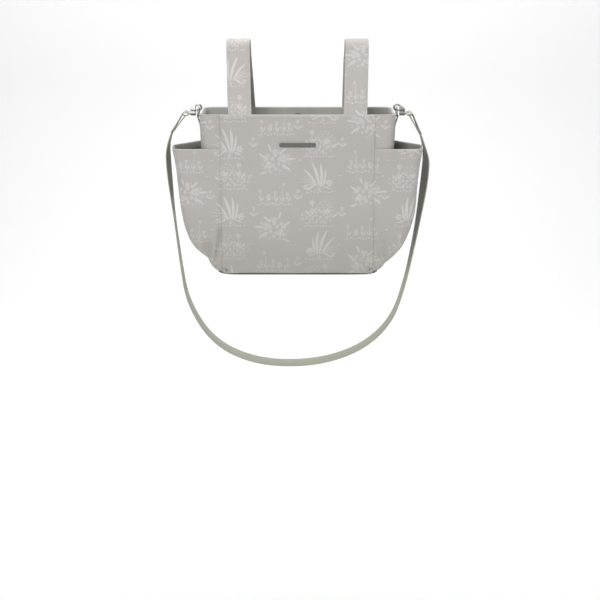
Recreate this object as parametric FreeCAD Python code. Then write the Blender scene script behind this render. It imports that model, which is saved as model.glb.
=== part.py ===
"""Diaper bag that hangs from a stroller's handlebar, with a clip-on shoulder strap.

Millimetres, +Z up, +X to the right as seen from the front, -Y towards the front.
The origin is the axis of the handlebar that the two loops go round, midway between them.
"""
import FreeCAD, Part
import math
import os

V = FreeCAD.Vector

# Driving dimensions of the bag.
RIM_Z = -100.0            # rim below the handlebar's axis
BASE_Z = -372.0           # underside of the bag
RIM_HALF_WIDTH = 164.0
RIM_HALF_DEPTH = 62.0
BASE_HALF_WIDTH = 154.0
BASE_HALF_DEPTH = 75.0
SHELL = 2.0               # printed outer fabric with its foam backing
LINING = 0.8
FACING = 1.0
LAYER_GAP = 0.2           # between layers that are sewn together
SEAM_X = 128.0            # the seams between the middle panels and the sides
BASE_SEAM_Z = -361.0
BEND_Z = -330.0           # where the walls begin to turn in towards the base
RIM_CORNER = 14.0
BEND_CORNER = 24.0
SEAM_CORNER = 27.0
SEAM_PULL = 12.0          # how far the base seam lies in from the straight wall
FLOOR_HALF_WIDTH = 127.0
FLOOR_HALF_DEPTH = 67.0
RIM_SAG = 4.0             # how far the rim dips at the middle of each side
SAG_R = 150.0
BOARD = 2.5               # stiffener in the base
BOARD_MARGIN = 8.0
FACING_DEPTH = 32.0       # height of the facing band inside the rim
FAR = 400.0               # a distance beyond the bag on every side

# Slip pocket on the inside of the back wall.
SLIP_HALF_WIDTH = 92.0
SLIP_Z = (-292.0, -158.0)
SLIP_ROOM = 16.0
SLIP_SHEET = 1.0

# Name plate on the front, and the magnetic snap inside the rim.
PLATE_HALF_WIDTH = 30.5
PLATE_Z = (-152.4, -145.4)
PLATE_T = 1.2
PLATE_CORNER = 2.6
PLATE_GAP = 0.5
SNAP_Z = -118.0
SNAP_R = 9.0
SNAP_T = 2.4
SOCKET_R = 3.2
STUD_R = 2.8

# Side pockets.
MOUTH_Z = -156.0
POCKET_FABRIC = 2.0
HEM_HEIGHT = 13.0
HEM_T = 0.8
POCKET_ROWS = [(MOUTH_Z, 212.5), (-195.0, 206.0), (-240.0, 203.5), (-268.0, 199.5), (-290.0, 193.7),
               (-312.0, 184.3), (-332.0, 168.7), (-345.0, 156.5), (-355.0, 150.5)]  # height, reach
POCKET_TURN_Y = -15.0     # the pocket turns back towards the bag's side here
POCKET_BACK_X = 158.0
POCKET_BACK_INSET = 8.0   # the pocket's back edge, forward of the back wall
POCKET_CORNERS = (0.6, 18.0, 30.0, 4.0, 0.6)

# Handlebar loops.
BAR_R = 18.5
LOOP_X = 97.5             # middle of each loop
LOOP_WIDTH = 39.0
LOOP_T = 2.4
TAPE_T = 1.2              # hook-and-loop tape
TAPE_GAP = 0.4
REAR_T = 2.0
TAIL_LENGTH = 75.0
REAR_START = 22.0         # the rear strap starts this far below the bar's tangent point

# Shoulder strap hardware, all measured out from the side wall.
WIRE_R = 1.5
RING_X = 168.5            # plane of the D-ring
BOW_R = 10.0
PIN_Z = -103.5            # axis of the swivels, and centre of the ring's bow
RING_LEG = 4.0
TAB_WIDTH = 16.0
TAB_T = 1.2
ARCH_R = 4.8
ARCH_TUBE = 1.6
BOLT_R = 1.4
BOLT_TRAVEL = 4.5
PIN_R = 1.7
HEAD_R = 2.5
RUNNING = 0.05
HOUSING_X = (173.0, 182.6)
HOUSING_R = 4.0
NECK_R = 2.2
HOUSING_EDGE = 0.9
HOUSING_TOP = (15.0, 8.0)   # height of the body's sloping top above the pin, near and far
EYE_X = 191.5             # middle of the bar that the strap goes round
EYE_BAR_R = 1.8
STRAP_WIDTH = 40.0
STRAP_T = 2.0

# Middle of the shoulder strap, X and Z, from its left end round to its right end.
STRAP_ROUTE = [
    (-213.5, -134.0), (-222.0, -153.0), (-222.5, -190.0), (-216.5, -262.0), (-205.5, -366.0),
    (-195.0, -439.0), (-150.0, -513.0), (-72.0, -549.5), (28.0, -551.5), (111.0, -525.0),
    (166.0, -474.0), (188.5, -405.0), (203.0, -331.0), (213.5, -262.0), (220.0, -208.0),
    (221.5, -171.0), (209.5, -138.0)]

PIECES = {}


def box(x0, x1, y0, y1, z0, z1):
    return Part.makeBox(x1 - x0, y1 - y0, z1 - z0, V(x0, y0, z0))


def cylinder(radius, start, end):
    start = V(*start)
    along = V(*end) - start
    return Part.makeCylinder(radius, along.Length, start, along)


def slab(low_z, high_z):
    """Everything between two heights."""
    return box(-FAR, FAR, -FAR, FAR, low_z, high_z)


def mirrored(shape):
    """The same piece on the left side."""
    return shape.mirror(V(0, 0, 0), V(1, 0, 0))


def add(name, shape):
    PIECES[name] = shape


def add_pair(name, right):
    add(name + "_right", right)
    add(name + "_left", mirrored(right))


def rounded_wire(points, radii, z):
    """A closed outline at height z, with a tangent arc of the given radius at each corner."""
    edges = []
    ends = []
    count = len(points)
    for i, radius in enumerate(radii):
        corner = V(points[i][0], points[i][1], z)
        before = V(points[i - 1][0], points[i - 1][1], z) - corner
        after = V(points[(i + 1) % count][0], points[(i + 1) % count][1], z) - corner
        before.normalize()
        after.normalize()
        half = before.getAngle(after) / 2.0
        cut = radius / math.tan(half)
        middle = (before + after).normalize()
        inner = corner + middle * (radius / math.sin(half) - radius)
        ends.append((corner + before * cut, inner, corner + after * cut))
    for i, (start, inner, end) in enumerate(ends):
        edges.append(Part.Arc(start, inner, end).toShape())
        edges.append(Part.LineSegment(end, ends[(i + 1) % count][0]).toShape())
    return Part.Wire(edges)


def body_section(z, half_width, half_depth, corner):
    points = [(half_width, -half_depth), (half_width, half_depth),
              (-half_width, half_depth), (-half_width, -half_depth)]
    return rounded_wire(points, [corner] * 4, z)


def wall_half(z, at_rim, at_base):
    """The half width or half depth of the straight part of the wall at height z."""
    share = (RIM_Z - z) / (RIM_Z - BASE_SEAM_Z)
    return at_rim + (at_base - at_rim) * share


def bag_form(inset, floor_z, top_z=RIM_Z):
    """The bag's outer form, made smaller by inset, with its own floor height."""
    rows = [(top_z, 0.0, RIM_CORNER), (BEND_Z, 0.0, BEND_CORNER), (BASE_SEAM_Z, SEAM_PULL, SEAM_CORNER)]
    wires = []
    for z, pull_in, corner in rows:
        wires.append(body_section(
            z,
            wall_half(z, RIM_HALF_WIDTH, BASE_HALF_WIDTH) - pull_in - inset,
            wall_half(z, RIM_HALF_DEPTH, BASE_HALF_DEPTH) - pull_in / 5.0 - inset,
            corner - inset))
    wires.append(body_section(floor_z, FLOOR_HALF_WIDTH - inset, FLOOR_HALF_DEPTH - inset,
                              BEND_CORNER - inset))
    return Part.makeLoft(wires, True, True)


def side_dip():
    """What is cut away to let the rim sag at both sides."""
    centre_z = RIM_Z + SAG_R - RIM_SAG
    return cylinder(SAG_R, (-FAR, 0, centre_z), (FAR, 0, centre_z))


def outer_panels():
    shell = bag_form(0.0, BASE_Z).cut(bag_form(SHELL, BASE_Z + SHELL))
    high = slab(BASE_SEAM_Z, 0)
    upper = shell.common(high)
    add("front_panel", upper.common(box(-SEAM_X, SEAM_X, -FAR, 0, -FAR, 0)))
    add("back_panel", upper.common(box(-SEAM_X, SEAM_X, 0, FAR, -FAR, 0)))
    side = upper.common(box(SEAM_X, FAR, -FAR, FAR, -FAR, 0)).cut(side_dip())
    add_pair("side_panel", side)
    add("base_panel", shell.cut(high))
    bottom = BASE_Z + SHELL + LAYER_GAP
    board = bag_form(SHELL + BOARD_MARGIN, bottom)
    add("base_board", board.common(slab(BASE_Z, bottom + BOARD)))


def inside_layers():
    first = SHELL + LAYER_GAP
    floor_z = BASE_Z + SHELL + BOARD + 2.0 * LAYER_GAP
    lining = bag_form(first, floor_z).cut(bag_form(first + LINING, floor_z + LINING))
    add("lining", lining.cut(side_dip()))
    second = first + LINING + LAYER_GAP
    band = bag_form(second, floor_z + 4.0).cut(bag_form(second + FACING, floor_z + 5.0))
    band = band.common(slab(RIM_Z - FACING_DEPTH, RIM_Z))
    add("rim_facing", band.cut(side_dip()))


def inner_pocket():
    """A flat slip pocket on the inside of the back wall: a front sheet with closed edges."""
    form = bag_form(SHELL + LINING + 2.5 * LAYER_GAP, BASE_Z + 30.0)

    def nearest_back(depth):
        """The part of the bag's inside that is within depth of the back wall."""
        forward = form.copy()
        forward.translate(V(0, -depth, 0))
        return form.cut(forward)

    low, high = SLIP_Z
    within = SLIP_HALF_WIDTH - SLIP_SHEET
    outside = box(-SLIP_HALF_WIDTH, SLIP_HALF_WIDTH, 0, FAR, low, high)
    hollow = box(-within, within, 0, FAR, low + SLIP_SHEET, RIM_Z)
    outside = nearest_back(SLIP_ROOM + SLIP_SHEET).common(outside)
    add("inner_pocket", outside.cut(nearest_back(SLIP_ROOM).common(hollow)))


def pocket_form(inset):
    """A side pocket's outer form on the right, closed towards the bag, made smaller by inset."""
    outer = [0.0, inset, inset, 0.0, 0.0]
    radii = [corner - less for corner, less in zip(POCKET_CORNERS, outer)]
    rise = inset * 0.6
    wires = []
    for z, reach in POCKET_ROWS:
        wall = wall_half(z, RIM_HALF_DEPTH, BASE_HALF_DEPTH)
        front = wall + POCKET_FABRIC + LAYER_GAP - inset
        back = wall - POCKET_BACK_INSET - inset
        out = reach - inset
        points = [(SEAM_X, -front), (out - 4.0, -front), (out, POCKET_TURN_Y), (POCKET_BACK_X, back),
                  (SEAM_X, back)]
        wires.append(rounded_wire(points, radii, z + rise))
    wires[0].translate(V(0, 0, -rise))
    return Part.makeLoft(wires, True, True)


def side_pockets():
    against = bag_form(-LAYER_GAP, BASE_Z - LAYER_GAP, RIM_Z)
    outer = pocket_form(0.0)
    inner = pocket_form(POCKET_FABRIC)
    add_pair("side_pocket", outer.cut(inner).cut(against))
    first = POCKET_FABRIC + LAYER_GAP
    outside_bag = bag_form(-2.0 * LAYER_GAP, BASE_Z - 1.0, RIM_Z)
    beyond = box(BASE_HALF_WIDTH, FAR, -FAR, FAR, -FAR, 0)
    skin = pocket_form(first).cut(pocket_form(first + LINING)).common(beyond).cut(outside_bag)
    add_pair("pocket_lining", skin)
    second = first + LINING + LAYER_GAP
    band = pocket_form(second).cut(pocket_form(second + HEM_T)).common(beyond).cut(outside_bag)
    band = band.common(slab(MOUTH_Z - HEM_HEIGHT, MOUTH_Z))
    add_pair("pocket_hem", band)


def trim():
    """The metal name plate, and the two halves of the magnetic snap inside the rim."""
    low, high = PLATE_Z
    face = wall_half((low + high) / 2.0, RIM_HALF_DEPTH, BASE_HALF_DEPTH) + PLATE_GAP
    plate = box(-PLATE_HALF_WIDTH, PLATE_HALF_WIDTH, -face - PLATE_T, -face, low, high)
    uprights = [edge for edge in plate.Edges if abs(edge.tangentAt(edge.FirstParameter).y) > 0.9]
    add("name_plate", plate.makeFillet(PLATE_CORNER, uprights))
    layers = SHELL + LINING + FACING + 3.0 * LAYER_GAP
    face = wall_half(SNAP_Z, RIM_HALF_DEPTH, BASE_HALF_DEPTH) - layers - 0.6

    def across(radius, start, end):
        """A disc between two depths inside the front wall."""
        return cylinder(radius, (0, -face + start, SNAP_Z), (0, -face + end, SNAP_Z))

    add("snap_socket", across(SNAP_R, 0.0, SNAP_T + 0.4).cut(across(SOCKET_R, 1.4, SNAP_T + 1.0)))
    stud = across(SNAP_R, 0.0, SNAP_T).fuse(across(STUD_R, SNAP_T - 0.5, SNAP_T + 1.6))
    add("snap_stud", stud.mirror(V(0, 0, 0), V(0, 1, 0)))


def tangent_line(foot, radius):
    """Angle of the line down from a circle about the bar to a foot point on the +Y side."""
    reach = math.hypot(*foot)
    return math.atan2(foot[1], foot[0]) - math.asin(radius / reach)


def strip(angle, radius, start, end, thickness):
    """A flat strip along a line that leaves a circle about the bar at the given angle."""
    along = V(0, math.cos(angle), math.sin(angle))
    out = V(0, -math.sin(angle), math.cos(angle))
    left = V(LOOP_X - LOOP_WIDTH / 2.0, 0, 0)
    inner = out * (radius - thickness / 2.0)
    outer = out * (radius + thickness / 2.0)
    corners = [left + inner + along * start, left + inner + along * end,
               left + outer + along * end, left + outer + along * start]
    return Part.Face(Part.makePolygon(corners + corners[:1])).extrude(V(LOOP_WIDTH, 0, 0))


def over_bar(first, last):
    """The strap's arc over the bar, between two angles from +Y towards +Z."""
    start = V(LOOP_X - LOOP_WIDTH / 2.0, 0, 0)
    ring = Part.makeCylinder(BAR_R + LOOP_T, LOOP_WIDTH, start, V(1, 0, 0))
    ring = ring.cut(Part.makeCylinder(BAR_R, LOOP_WIDTH, start, V(1, 0, 0)))
    far = 80.0
    steps = [first + (last - first) * i / 4.0 for i in range(5)]
    corners = [start] + [start + V(0, far * math.cos(a), far * math.sin(a)) for a in steps]
    wedge = Part.Face(Part.makePolygon(corners + corners[:1])).extrude(V(LOOP_WIDTH, 0, 0))
    return ring.common(wedge)


def handlebar_loops():
    middle_r = BAR_R + LOOP_T / 2.0
    foot = (RIM_HALF_DEPTH - 1.2, RIM_Z)
    front_angle = tangent_line(foot, middle_r)
    length = math.sqrt(math.hypot(*foot) ** 2 - middle_r ** 2)
    flat = strip(front_angle, middle_r, 0, length - 1.0, LOOP_T).mirror(V(0, 0, 0), V(0, 1, 0))
    top_gap = 0.3 / middle_r
    arc = over_bar(math.pi / 2.0 + top_gap, math.pi / 2.0 - front_angle)
    add_pair("loop_strap", flat.fuse(arc).removeSplitter())
    rear_r = middle_r - LOOP_T / 2.0 - 2.0 * TAPE_T - TAPE_GAP - REAR_T / 2.0
    rear_angle = tangent_line(foot, rear_r)
    length = math.sqrt(math.hypot(*foot) ** 2 - rear_r ** 2)
    add_pair("rear_strap", strip(rear_angle, rear_r, REAR_START, length - 1.0, REAR_T))
    tape_r = rear_r + REAR_T / 2.0 + TAPE_T / 2.0
    add_pair("rear_tape", strip(rear_angle, tape_r, REAR_START, TAIL_LENGTH - 4.0, TAPE_T))
    tail = strip(rear_angle, middle_r, 0, TAIL_LENGTH, LOOP_T)
    arc = over_bar(rear_angle + math.pi / 2.0, math.pi / 2.0 - top_gap)
    add_pair("loop_tail", tail.fuse(arc).removeSplitter())
    tape_r = middle_r - LOOP_T / 2.0 - TAPE_T / 2.0
    add_pair("tail_tape", strip(rear_angle, tape_r, REAR_START, TAIL_LENGTH - 4.0, TAPE_T))


def fold(bar, end, radius, thickness, width):
    """Webbing folded round a bar along Y, its two layers meeting at end. Points are (x, z)."""
    bar_at = V(bar[0], 0, bar[1])
    end_at = V(end[0], 0, end[1])
    along = (end_at - bar_at).normalize()
    across = V(-along.z, 0, along.x)

    def outline(at_bar, at_end, stop):
        turn = [bar_at + across * at_bar, bar_at - along * at_bar, bar_at - across * at_bar]
        tip = [stop - across * at_end, stop + across * at_end]
        edges = [Part.Arc(*turn).toShape(), Part.LineSegment(turn[2], tip[0]).toShape(),
                 Part.LineSegment(tip[0], tip[1]).toShape(), Part.LineSegment(tip[1], turn[0]).toShape()]
        return Part.Face(Part.Wire(edges)).extrude(V(0, width, 0))

    solid = outline(radius + thickness, thickness, end_at)
    hollow = outline(radius, 0.1, end_at - along * thickness * 4.0)
    solid = solid.cut(hollow)
    solid.translate(V(0, -width / 2.0, 0))
    return solid


def rings_and_tabs():
    bar_z = PIN_Z - RING_LEG
    top = V(RING_X, 0, PIN_Z + BOW_R)
    left = V(RING_X, -BOW_R, PIN_Z)
    right = V(RING_X, BOW_R, PIN_Z)
    corner = 2.0
    low = bar_z + corner
    bend = corner * (1.0 - math.sqrt(0.5))
    edges = [Part.Arc(left, top, right).toShape(),
             Part.LineSegment(right, V(RING_X, BOW_R, low)).toShape(),
             Part.Arc(V(RING_X, BOW_R, low), V(RING_X, BOW_R - bend, bar_z + bend),
                      V(RING_X, BOW_R - corner, bar_z)).toShape(),
             Part.LineSegment(V(RING_X, BOW_R - corner, bar_z),
                              V(RING_X, corner - BOW_R, bar_z)).toShape(),
             Part.Arc(V(RING_X, corner - BOW_R, bar_z), V(RING_X, bend - BOW_R, bar_z + bend),
                      V(RING_X, -BOW_R, low)).toShape(),
             Part.LineSegment(V(RING_X, -BOW_R, low), left).toShape()]
    section = Part.Wire(Part.makeCircle(WIRE_R, top, V(0, 1, 0)))
    add_pair("d_ring", Part.Wire(edges).makePipeShell([section], True, True))
    tab_end_z = -131.0
    end_x = wall_half(tab_end_z, RIM_HALF_WIDTH, BASE_HALF_WIDTH) + TAB_T + 0.2
    tab = fold((RING_X, bar_z), (end_x, tab_end_z), WIRE_R + 0.35, TAB_T, TAB_WIDTH - 1.5)
    add_pair("ring_tab", tab)


def housing(near, far, high_z):
    """The hook's body: wide round the swivel pin, narrower above, with a top that slopes outwards."""
    rise = high_z - PIN_Z
    slope = math.asin((HOUSING_R - NECK_R) / rise)
    side_y = math.cos(slope)
    side_z = math.sin(slope)
    wide = [V(near, side * HOUSING_R * side_y, PIN_Z + HOUSING_R * side_z) for side in (1, -1)]
    neck = [V(near, side * NECK_R * side_y, high_z + NECK_R * side_z) for side in (1, -1)]
    edges = [Part.Arc(wide[0], V(near, 0, PIN_Z - HOUSING_R), wide[1]).toShape(),
             Part.LineSegment(wide[1], neck[1]).toShape(),
             Part.Arc(neck[1], V(near, 0, high_z + NECK_R), neck[0]).toShape(),
             Part.LineSegment(neck[0], wide[0]).toShape()]
    solid = Part.Face(Part.Wire(edges)).extrude(V(far - near, 0, 0))
    ends = [edge for edge in solid.Edges if abs(edge.tangentAt(edge.FirstParameter).x) < 0.1]
    solid = solid.makeFillet(HOUSING_EDGE, ends)
    over = [V(near, -FAR, PIN_Z + HOUSING_TOP[0]), V(far, -FAR, PIN_Z + HOUSING_TOP[1]),
            V(far, -FAR, 0), V(near, -FAR, 0)]
    return solid.cut(Part.Face(Part.makePolygon(over + over[:1])).extrude(V(0, 2.0 * FAR, 0)))


def snap_hooks():
    """A bolt snap: its arch goes over the ring's bow, and the bolt closes the arch."""
    centre = V(RING_X, 0, PIN_Z + BOW_R)
    nose = centre + V(0, 0, -ARCH_R)
    spine_turn = math.radians(65.0)
    spine_start = centre + V(ARCH_R * math.cos(spine_turn), 0, ARCH_R * math.sin(spine_turn))
    spine_end = spine_start + V(math.sin(spine_turn), 0, -math.cos(spine_turn)) * 6.0
    arch = Part.Wire([Part.Arc(nose, centre - V(ARCH_R, 0, 0), spine_start).toShape(),
                      Part.LineSegment(spine_start, spine_end).toShape()])
    section = Part.Wire(Part.makeCircle(ARCH_TUBE, nose, V(-1, 0, 0)))
    arch = arch.makePipeShell([section], True, True)
    near, far = HOUSING_X
    body = housing(near, far, spine_end.z).fuse(arch).removeSplitter()
    bolt_z = nose.z
    bolt_tail = near + 6.0
    bore_end = bolt_tail + BOLT_TRAVEL - 1.0
    body = body.cut(cylinder(BOLT_R + RUNNING, (near - 1.0, 0, bolt_z), (bore_end, 0, bolt_z)))
    knob_x = near + 2.2
    slot = box(knob_x - 1.4, knob_x + BOLT_TRAVEL + 1.4, -6.0, 0, bolt_z - 1.4, bolt_z + 1.4)
    body = body.cut(slot)
    head = (near + 2.4, near + 5.0)
    body = body.cut(cylinder(HEAD_R + RUNNING, (head[0], 0, PIN_Z), (head[1], 0, PIN_Z)))
    body = body.cut(cylinder(PIN_R + RUNNING, (head[1] - 0.1, 0, PIN_Z), (far + 1.0, 0, PIN_Z)))
    add_pair("hook_body", body)
    bolt = cylinder(BOLT_R, (RING_X + 0.3, 0, bolt_z), (bolt_tail - 1.3, 0, bolt_z))
    bolt = bolt.cut(cylinder(0.9, (near + 0.2, 0, bolt_z), (bolt_tail, 0, bolt_z)))
    knob = cylinder(1.1, (knob_x, -1.0, bolt_z), (knob_x, -6.6, bolt_z))
    add_pair("hook_bolt", bolt.fuse(knob).cut(cylinder(0.9, (near + 0.2, 0, bolt_z),
                                                       (bolt_tail, 0, bolt_z))))
    add_pair("hook_spring", cylinder(0.7, (bore_end, 0, bolt_z), (bolt_tail - 1.2, 0, bolt_z)))
    yoke_x = far + 2.9
    pin = cylinder(PIN_R, (head[0] + 0.3, 0, PIN_Z), (yoke_x, 0, PIN_Z))
    pin = pin.fuse(cylinder(HEAD_R, (head[0] + 0.3, 0, PIN_Z), (head[1] - 0.3, 0, PIN_Z)))
    reach = STRAP_WIDTH / 2.0 + 0.8 + EYE_BAR_R
    loop = [V(yoke_x, -reach, PIN_Z), V(yoke_x, reach, PIN_Z), V(EYE_X, reach, PIN_Z),
            V(EYE_X, -reach, PIN_Z)]
    eye = pin
    for i, corner in enumerate(loop):
        following = loop[(i + 1) % 4]
        eye = eye.fuse(cylinder(EYE_BAR_R, tuple(corner), tuple(following)))
        eye = eye.fuse(Part.makeSphere(EYE_BAR_R, corner))
    add_pair("swivel_eye", eye.removeSplitter())


def route_edges(route, offset):
    """Straight runs joined by tangent arcs, moved sideways by offset, and the arcs' radii."""
    points = [V(x, 0, z) for x, z in route]
    edges = []
    radii = []

    def side(direction):
        return V(-direction.z, 0, direction.x) * offset

    at = points[0] + side((points[1] - points[0]).normalize())
    for i in range(1, len(points) - 1):
        into = points[i] - points[i - 1]
        out_of = points[i + 1] - points[i]
        turn = into.getAngle(out_of)
        cut = 0.45 * min(into.Length, out_of.Length)
        radius = cut / math.tan(turn / 2.0)
        radii.append(radius)
        into.normalize()
        out_of.normalize()
        arc_start = points[i] - into * cut
        arc_end = points[i] + out_of * cut
        inward = (out_of - into).normalize()
        centre = points[i] + inward * (radius / math.cos(turn / 2.0))
        bulge = 1.0 if side(into).dot(inward) < 0 else -1.0
        middle = centre - inward * (radius + bulge * abs(offset))
        start = arc_start + side(into)
        end = arc_end + side(out_of)
        edges.append(Part.LineSegment(at, start).toShape())
        edges.append(Part.Arc(start, middle, end).toShape())
        at = end
    edges.append(Part.LineSegment(at, points[-1] + side((points[-1] - points[-2]).normalize())).toShape())
    return edges, radii


def shoulder_strap():
    middle, radii = route_edges(STRAP_ROUTE, 0.0)
    length = sum(edge.Length for edge in middle)
    one, _ = route_edges(STRAP_ROUTE, STRAP_T / 2.0)
    other, _ = route_edges(STRAP_ROUTE, -STRAP_T / 2.0)
    first = Part.LineSegment(other[0].Vertexes[0].Point, one[0].Vertexes[0].Point).toShape()
    last = Part.LineSegment(one[-1].Vertexes[-1].Point, other[-1].Vertexes[-1].Point).toShape()
    outline = Part.Wire([first] + one + [last] + [edge for edge in reversed(other)])
    strap = Part.Face(outline).extrude(V(0, STRAP_WIDTH, 0))
    strap.translate(V(0, -STRAP_WIDTH / 2.0, 0))
    add("strap_webbing", strap)
    print("strap length", round(length, 1), "volume share",
          round(strap.Volume / (length * STRAP_T * STRAP_WIDTH), 4))
    print("strap radii", [round(radius) for radius in radii])
    for side, sign, end in (("left", -1, STRAP_ROUTE[0]), ("right", 1, STRAP_ROUTE[-1])):
        add("strap_end_" + side, fold((sign * EYE_X, PIN_Z), end, EYE_BAR_R + 0.3, STRAP_T, STRAP_WIDTH))


outer_panels()
inside_layers()
inner_pocket()
side_pockets()
trim()
handlebar_loops()
rings_and_tabs()
snap_hooks()
shoulder_strap()

os.makedirs("parts", exist_ok=True)
for name, shape in PIECES.items():
    print(name, len(shape.Solids), shape.isValid(), round(shape.Volume, 1))
    shape.exportStep("parts/" + name + ".step")
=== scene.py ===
"""Diaper bag: printed fabric, lining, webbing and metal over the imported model.

Metres, +Z up, -Y towards the front. The origin is the axis of the handlebar.
"""
import bpy
import math
import numpy as np
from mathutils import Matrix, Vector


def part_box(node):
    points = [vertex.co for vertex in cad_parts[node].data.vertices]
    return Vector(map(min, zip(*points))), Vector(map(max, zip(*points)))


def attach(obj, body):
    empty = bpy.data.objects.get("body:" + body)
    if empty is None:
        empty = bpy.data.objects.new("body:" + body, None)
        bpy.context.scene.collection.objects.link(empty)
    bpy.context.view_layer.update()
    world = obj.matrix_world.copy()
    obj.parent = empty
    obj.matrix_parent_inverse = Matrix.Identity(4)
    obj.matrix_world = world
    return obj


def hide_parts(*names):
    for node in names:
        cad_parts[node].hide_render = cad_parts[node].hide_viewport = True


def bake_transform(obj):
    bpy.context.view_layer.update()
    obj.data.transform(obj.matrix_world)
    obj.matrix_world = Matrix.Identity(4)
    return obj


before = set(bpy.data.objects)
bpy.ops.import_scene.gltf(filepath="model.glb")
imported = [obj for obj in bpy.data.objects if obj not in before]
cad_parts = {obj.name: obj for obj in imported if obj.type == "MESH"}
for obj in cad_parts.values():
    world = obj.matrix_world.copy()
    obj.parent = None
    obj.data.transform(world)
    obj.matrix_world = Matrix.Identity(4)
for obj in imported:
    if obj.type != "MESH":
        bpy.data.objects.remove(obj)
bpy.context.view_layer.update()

MM = 0.001
BAG = "bag_body"
LOOP_BODY = {"left": "loop_tail_left", "right": "loop_tail_right"}
SIDES = {"left": -1.0, "right": 1.0}
ACROSS = np.array([1.0, 0.0, 0.0])          # along the handlebar
DEPTHWAYS = np.array([0.0, 1.0, 0.0])       # from the front to the back

# Sizes that the frame gives.
RIM_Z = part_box("front_panel")[1][2]
BASE_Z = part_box("base_panel")[0][2]
PANEL_FOOT_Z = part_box("front_panel")[0][2]
SEAM_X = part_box("front_panel")[1][0]
RIM_HALF_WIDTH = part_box("side_panel_right")[1][0]
BASE_HALF_DEPTH = -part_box("front_panel")[0][1]
MOUTH_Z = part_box("side_pocket_right")[1][2]
FACING_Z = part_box("rim_facing")[0][2]

# Sizes of the bag's form, which the frame's boxes don't give.
RIM_HALF_DEPTH = 62.0 * MM
BASE_HALF_WIDTH = 154.0 * MM
RIM_SAG = 4.0 * MM        # how far the rim dips at the middle of each side
SAG_R = 150.0 * MM
CLOTH_T = 1.6 * MM
PROUD = 0.3 * MM          # how far the middle panels stand out from the sides
WELT = 1.0 * MM           # and how much more beside their seams
BELLY = 3.0 * MM          # how far the middle panels swell at their middle
TUCK = 3.2 * MM           # how deep the sides dip under the middle panels

# Handlebar loops.
BAR_R = 18.5 * MM
LOOP_X = 97.5 * MM
LOOP_WIDTH = 39.0 * MM
LOOP_T = 2.4 * MM
TAPE_T = 1.2 * MM
TAPE_GAP = 0.4 * MM       # between the two tapes of a closed loop
REAR_T = 2.0 * MM
REAR_START = 22.0 * MM    # from the bar down to the rear strap's top
TAIL_LENGTH = 75.0 * MM   # from the bar down to the tail's end

# Shoulder strap: the middle of the webbing in X and Z, from its left end to its right end.
STRAP_ROUTE = [
    (-213.5, -134.0), (-222.0, -153.0), (-222.5, -190.0), (-216.5, -262.0), (-205.5, -366.0),
    (-195.0, -439.0), (-150.0, -513.0), (-72.0, -549.5), (28.0, -551.5), (111.0, -525.0),
    (166.0, -474.0), (188.5, -405.0), (203.0, -331.0), (213.5, -262.0), (220.0, -208.0),
    (221.5, -171.0), (209.5, -138.0)]
STRAP_WIDTH = 40.0 * MM
STRAP_T = 2.0 * MM
EYE_X = 191.5 * MM        # middle of the swivel eye's bar, which the strap goes round
EYE_BAR_R = 1.8 * MM
PIN_Z = -103.5 * MM

# D-rings.
RING_X = 168.5 * MM       # middle of the bar that its tab goes round
RING_Z = -107.5 * MM
RING_BAR_R = 1.5 * MM

STITCH_R = 0.32 * MM      # half of the thread's thickness


# ---------------------------------------------------------------- materials

class Term:
    """A socket that takes part in sums, so that a node formula reads as a formula."""

    def __init__(self, tree, socket):
        self.tree = tree
        self.socket = socket

    def math(self, operation, *others):
        node = new_node(self.tree, "Math", (self,) + others, operation=operation)
        return Term(self.tree, node.outputs[0])

    def line(self, slope, offset):
        """The term times a slope, plus an offset. Either may be a term too."""
        return self.math("MULTIPLY_ADD", slope, offset)

    def vector(self, operation, *others, output=0):
        node = new_node(self.tree, "VectorMath", (self,) + others, operation=operation)
        return Term(self.tree, node.outputs[output])

    def scaled(self, factor):
        return self.vector("MULTIPLY", (factor, factor, factor))

    def length(self):
        return self.vector("LENGTH", output=1)

    def held(self):
        """Kept between 0 and 1."""
        return self.math("MAXIMUM", 0.0).math("MINIMUM", 1.0)

    def parts(self):
        node = new_node(self.tree, "SeparateXYZ", (self,))
        return [Term(self.tree, output) for output in node.outputs]

    def __add__(self, other):
        return self.math("ADD", other)

    def __sub__(self, other):
        return self.math("SUBTRACT", other)

    def __mul__(self, other):
        return self.math("MULTIPLY", other)

    def __abs__(self):
        return self.math("ABSOLUTE")


def feed(tree, target, value):
    """Link a term into an input, or set the input's own value."""
    if isinstance(value, Term):
        tree.links.new(value.socket, target)
    else:
        target.default_value = value


def new_node(tree, kind, inputs=(), **settings):
    """A new shader node with its settings, and its inputs in order or by their keys."""
    node = tree.nodes.new("ShaderNode" + kind)
    for name, value in settings.items():
        setattr(node, name, value)
    for key, value in inputs.items() if isinstance(inputs, dict) else enumerate(inputs):
        feed(tree, node.inputs[key], value)
    return node


def on_cloth(tree):
    """A point's place on the flat cloth in millimetres, and its mark: wear above 0, painted shade
    below.
    """
    node = new_node(tree, "Attribute", attribute_name="cloth")
    stored = Term(tree, node.outputs["Vector"])
    _, _, mark = stored.parts()
    return stored.vector("MULTIPLY", (1.0 / MM, 1.0 / MM, 0.0)), mark


def on_object(tree):
    """A point's place on its own piece in millimetres."""
    return Term(tree, new_node(tree, "TexCoord").outputs["Object"]).scaled(1.0 / MM)


def noise(place, scale, detail=2.0, output="Fac"):
    node = new_node(place.tree, "TexNoise", {"Vector": place, "Scale": scale, "Detail": detail})
    return Term(place.tree, node.outputs[output])


def mix(share, first, second):
    """A colour between the first and the second, by share from 0 to 1."""
    node = new_node(share.tree, "Mix", {0: share, 6: first, 7: second}, data_type="RGBA")
    return Term(share.tree, node.outputs[2])


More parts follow.
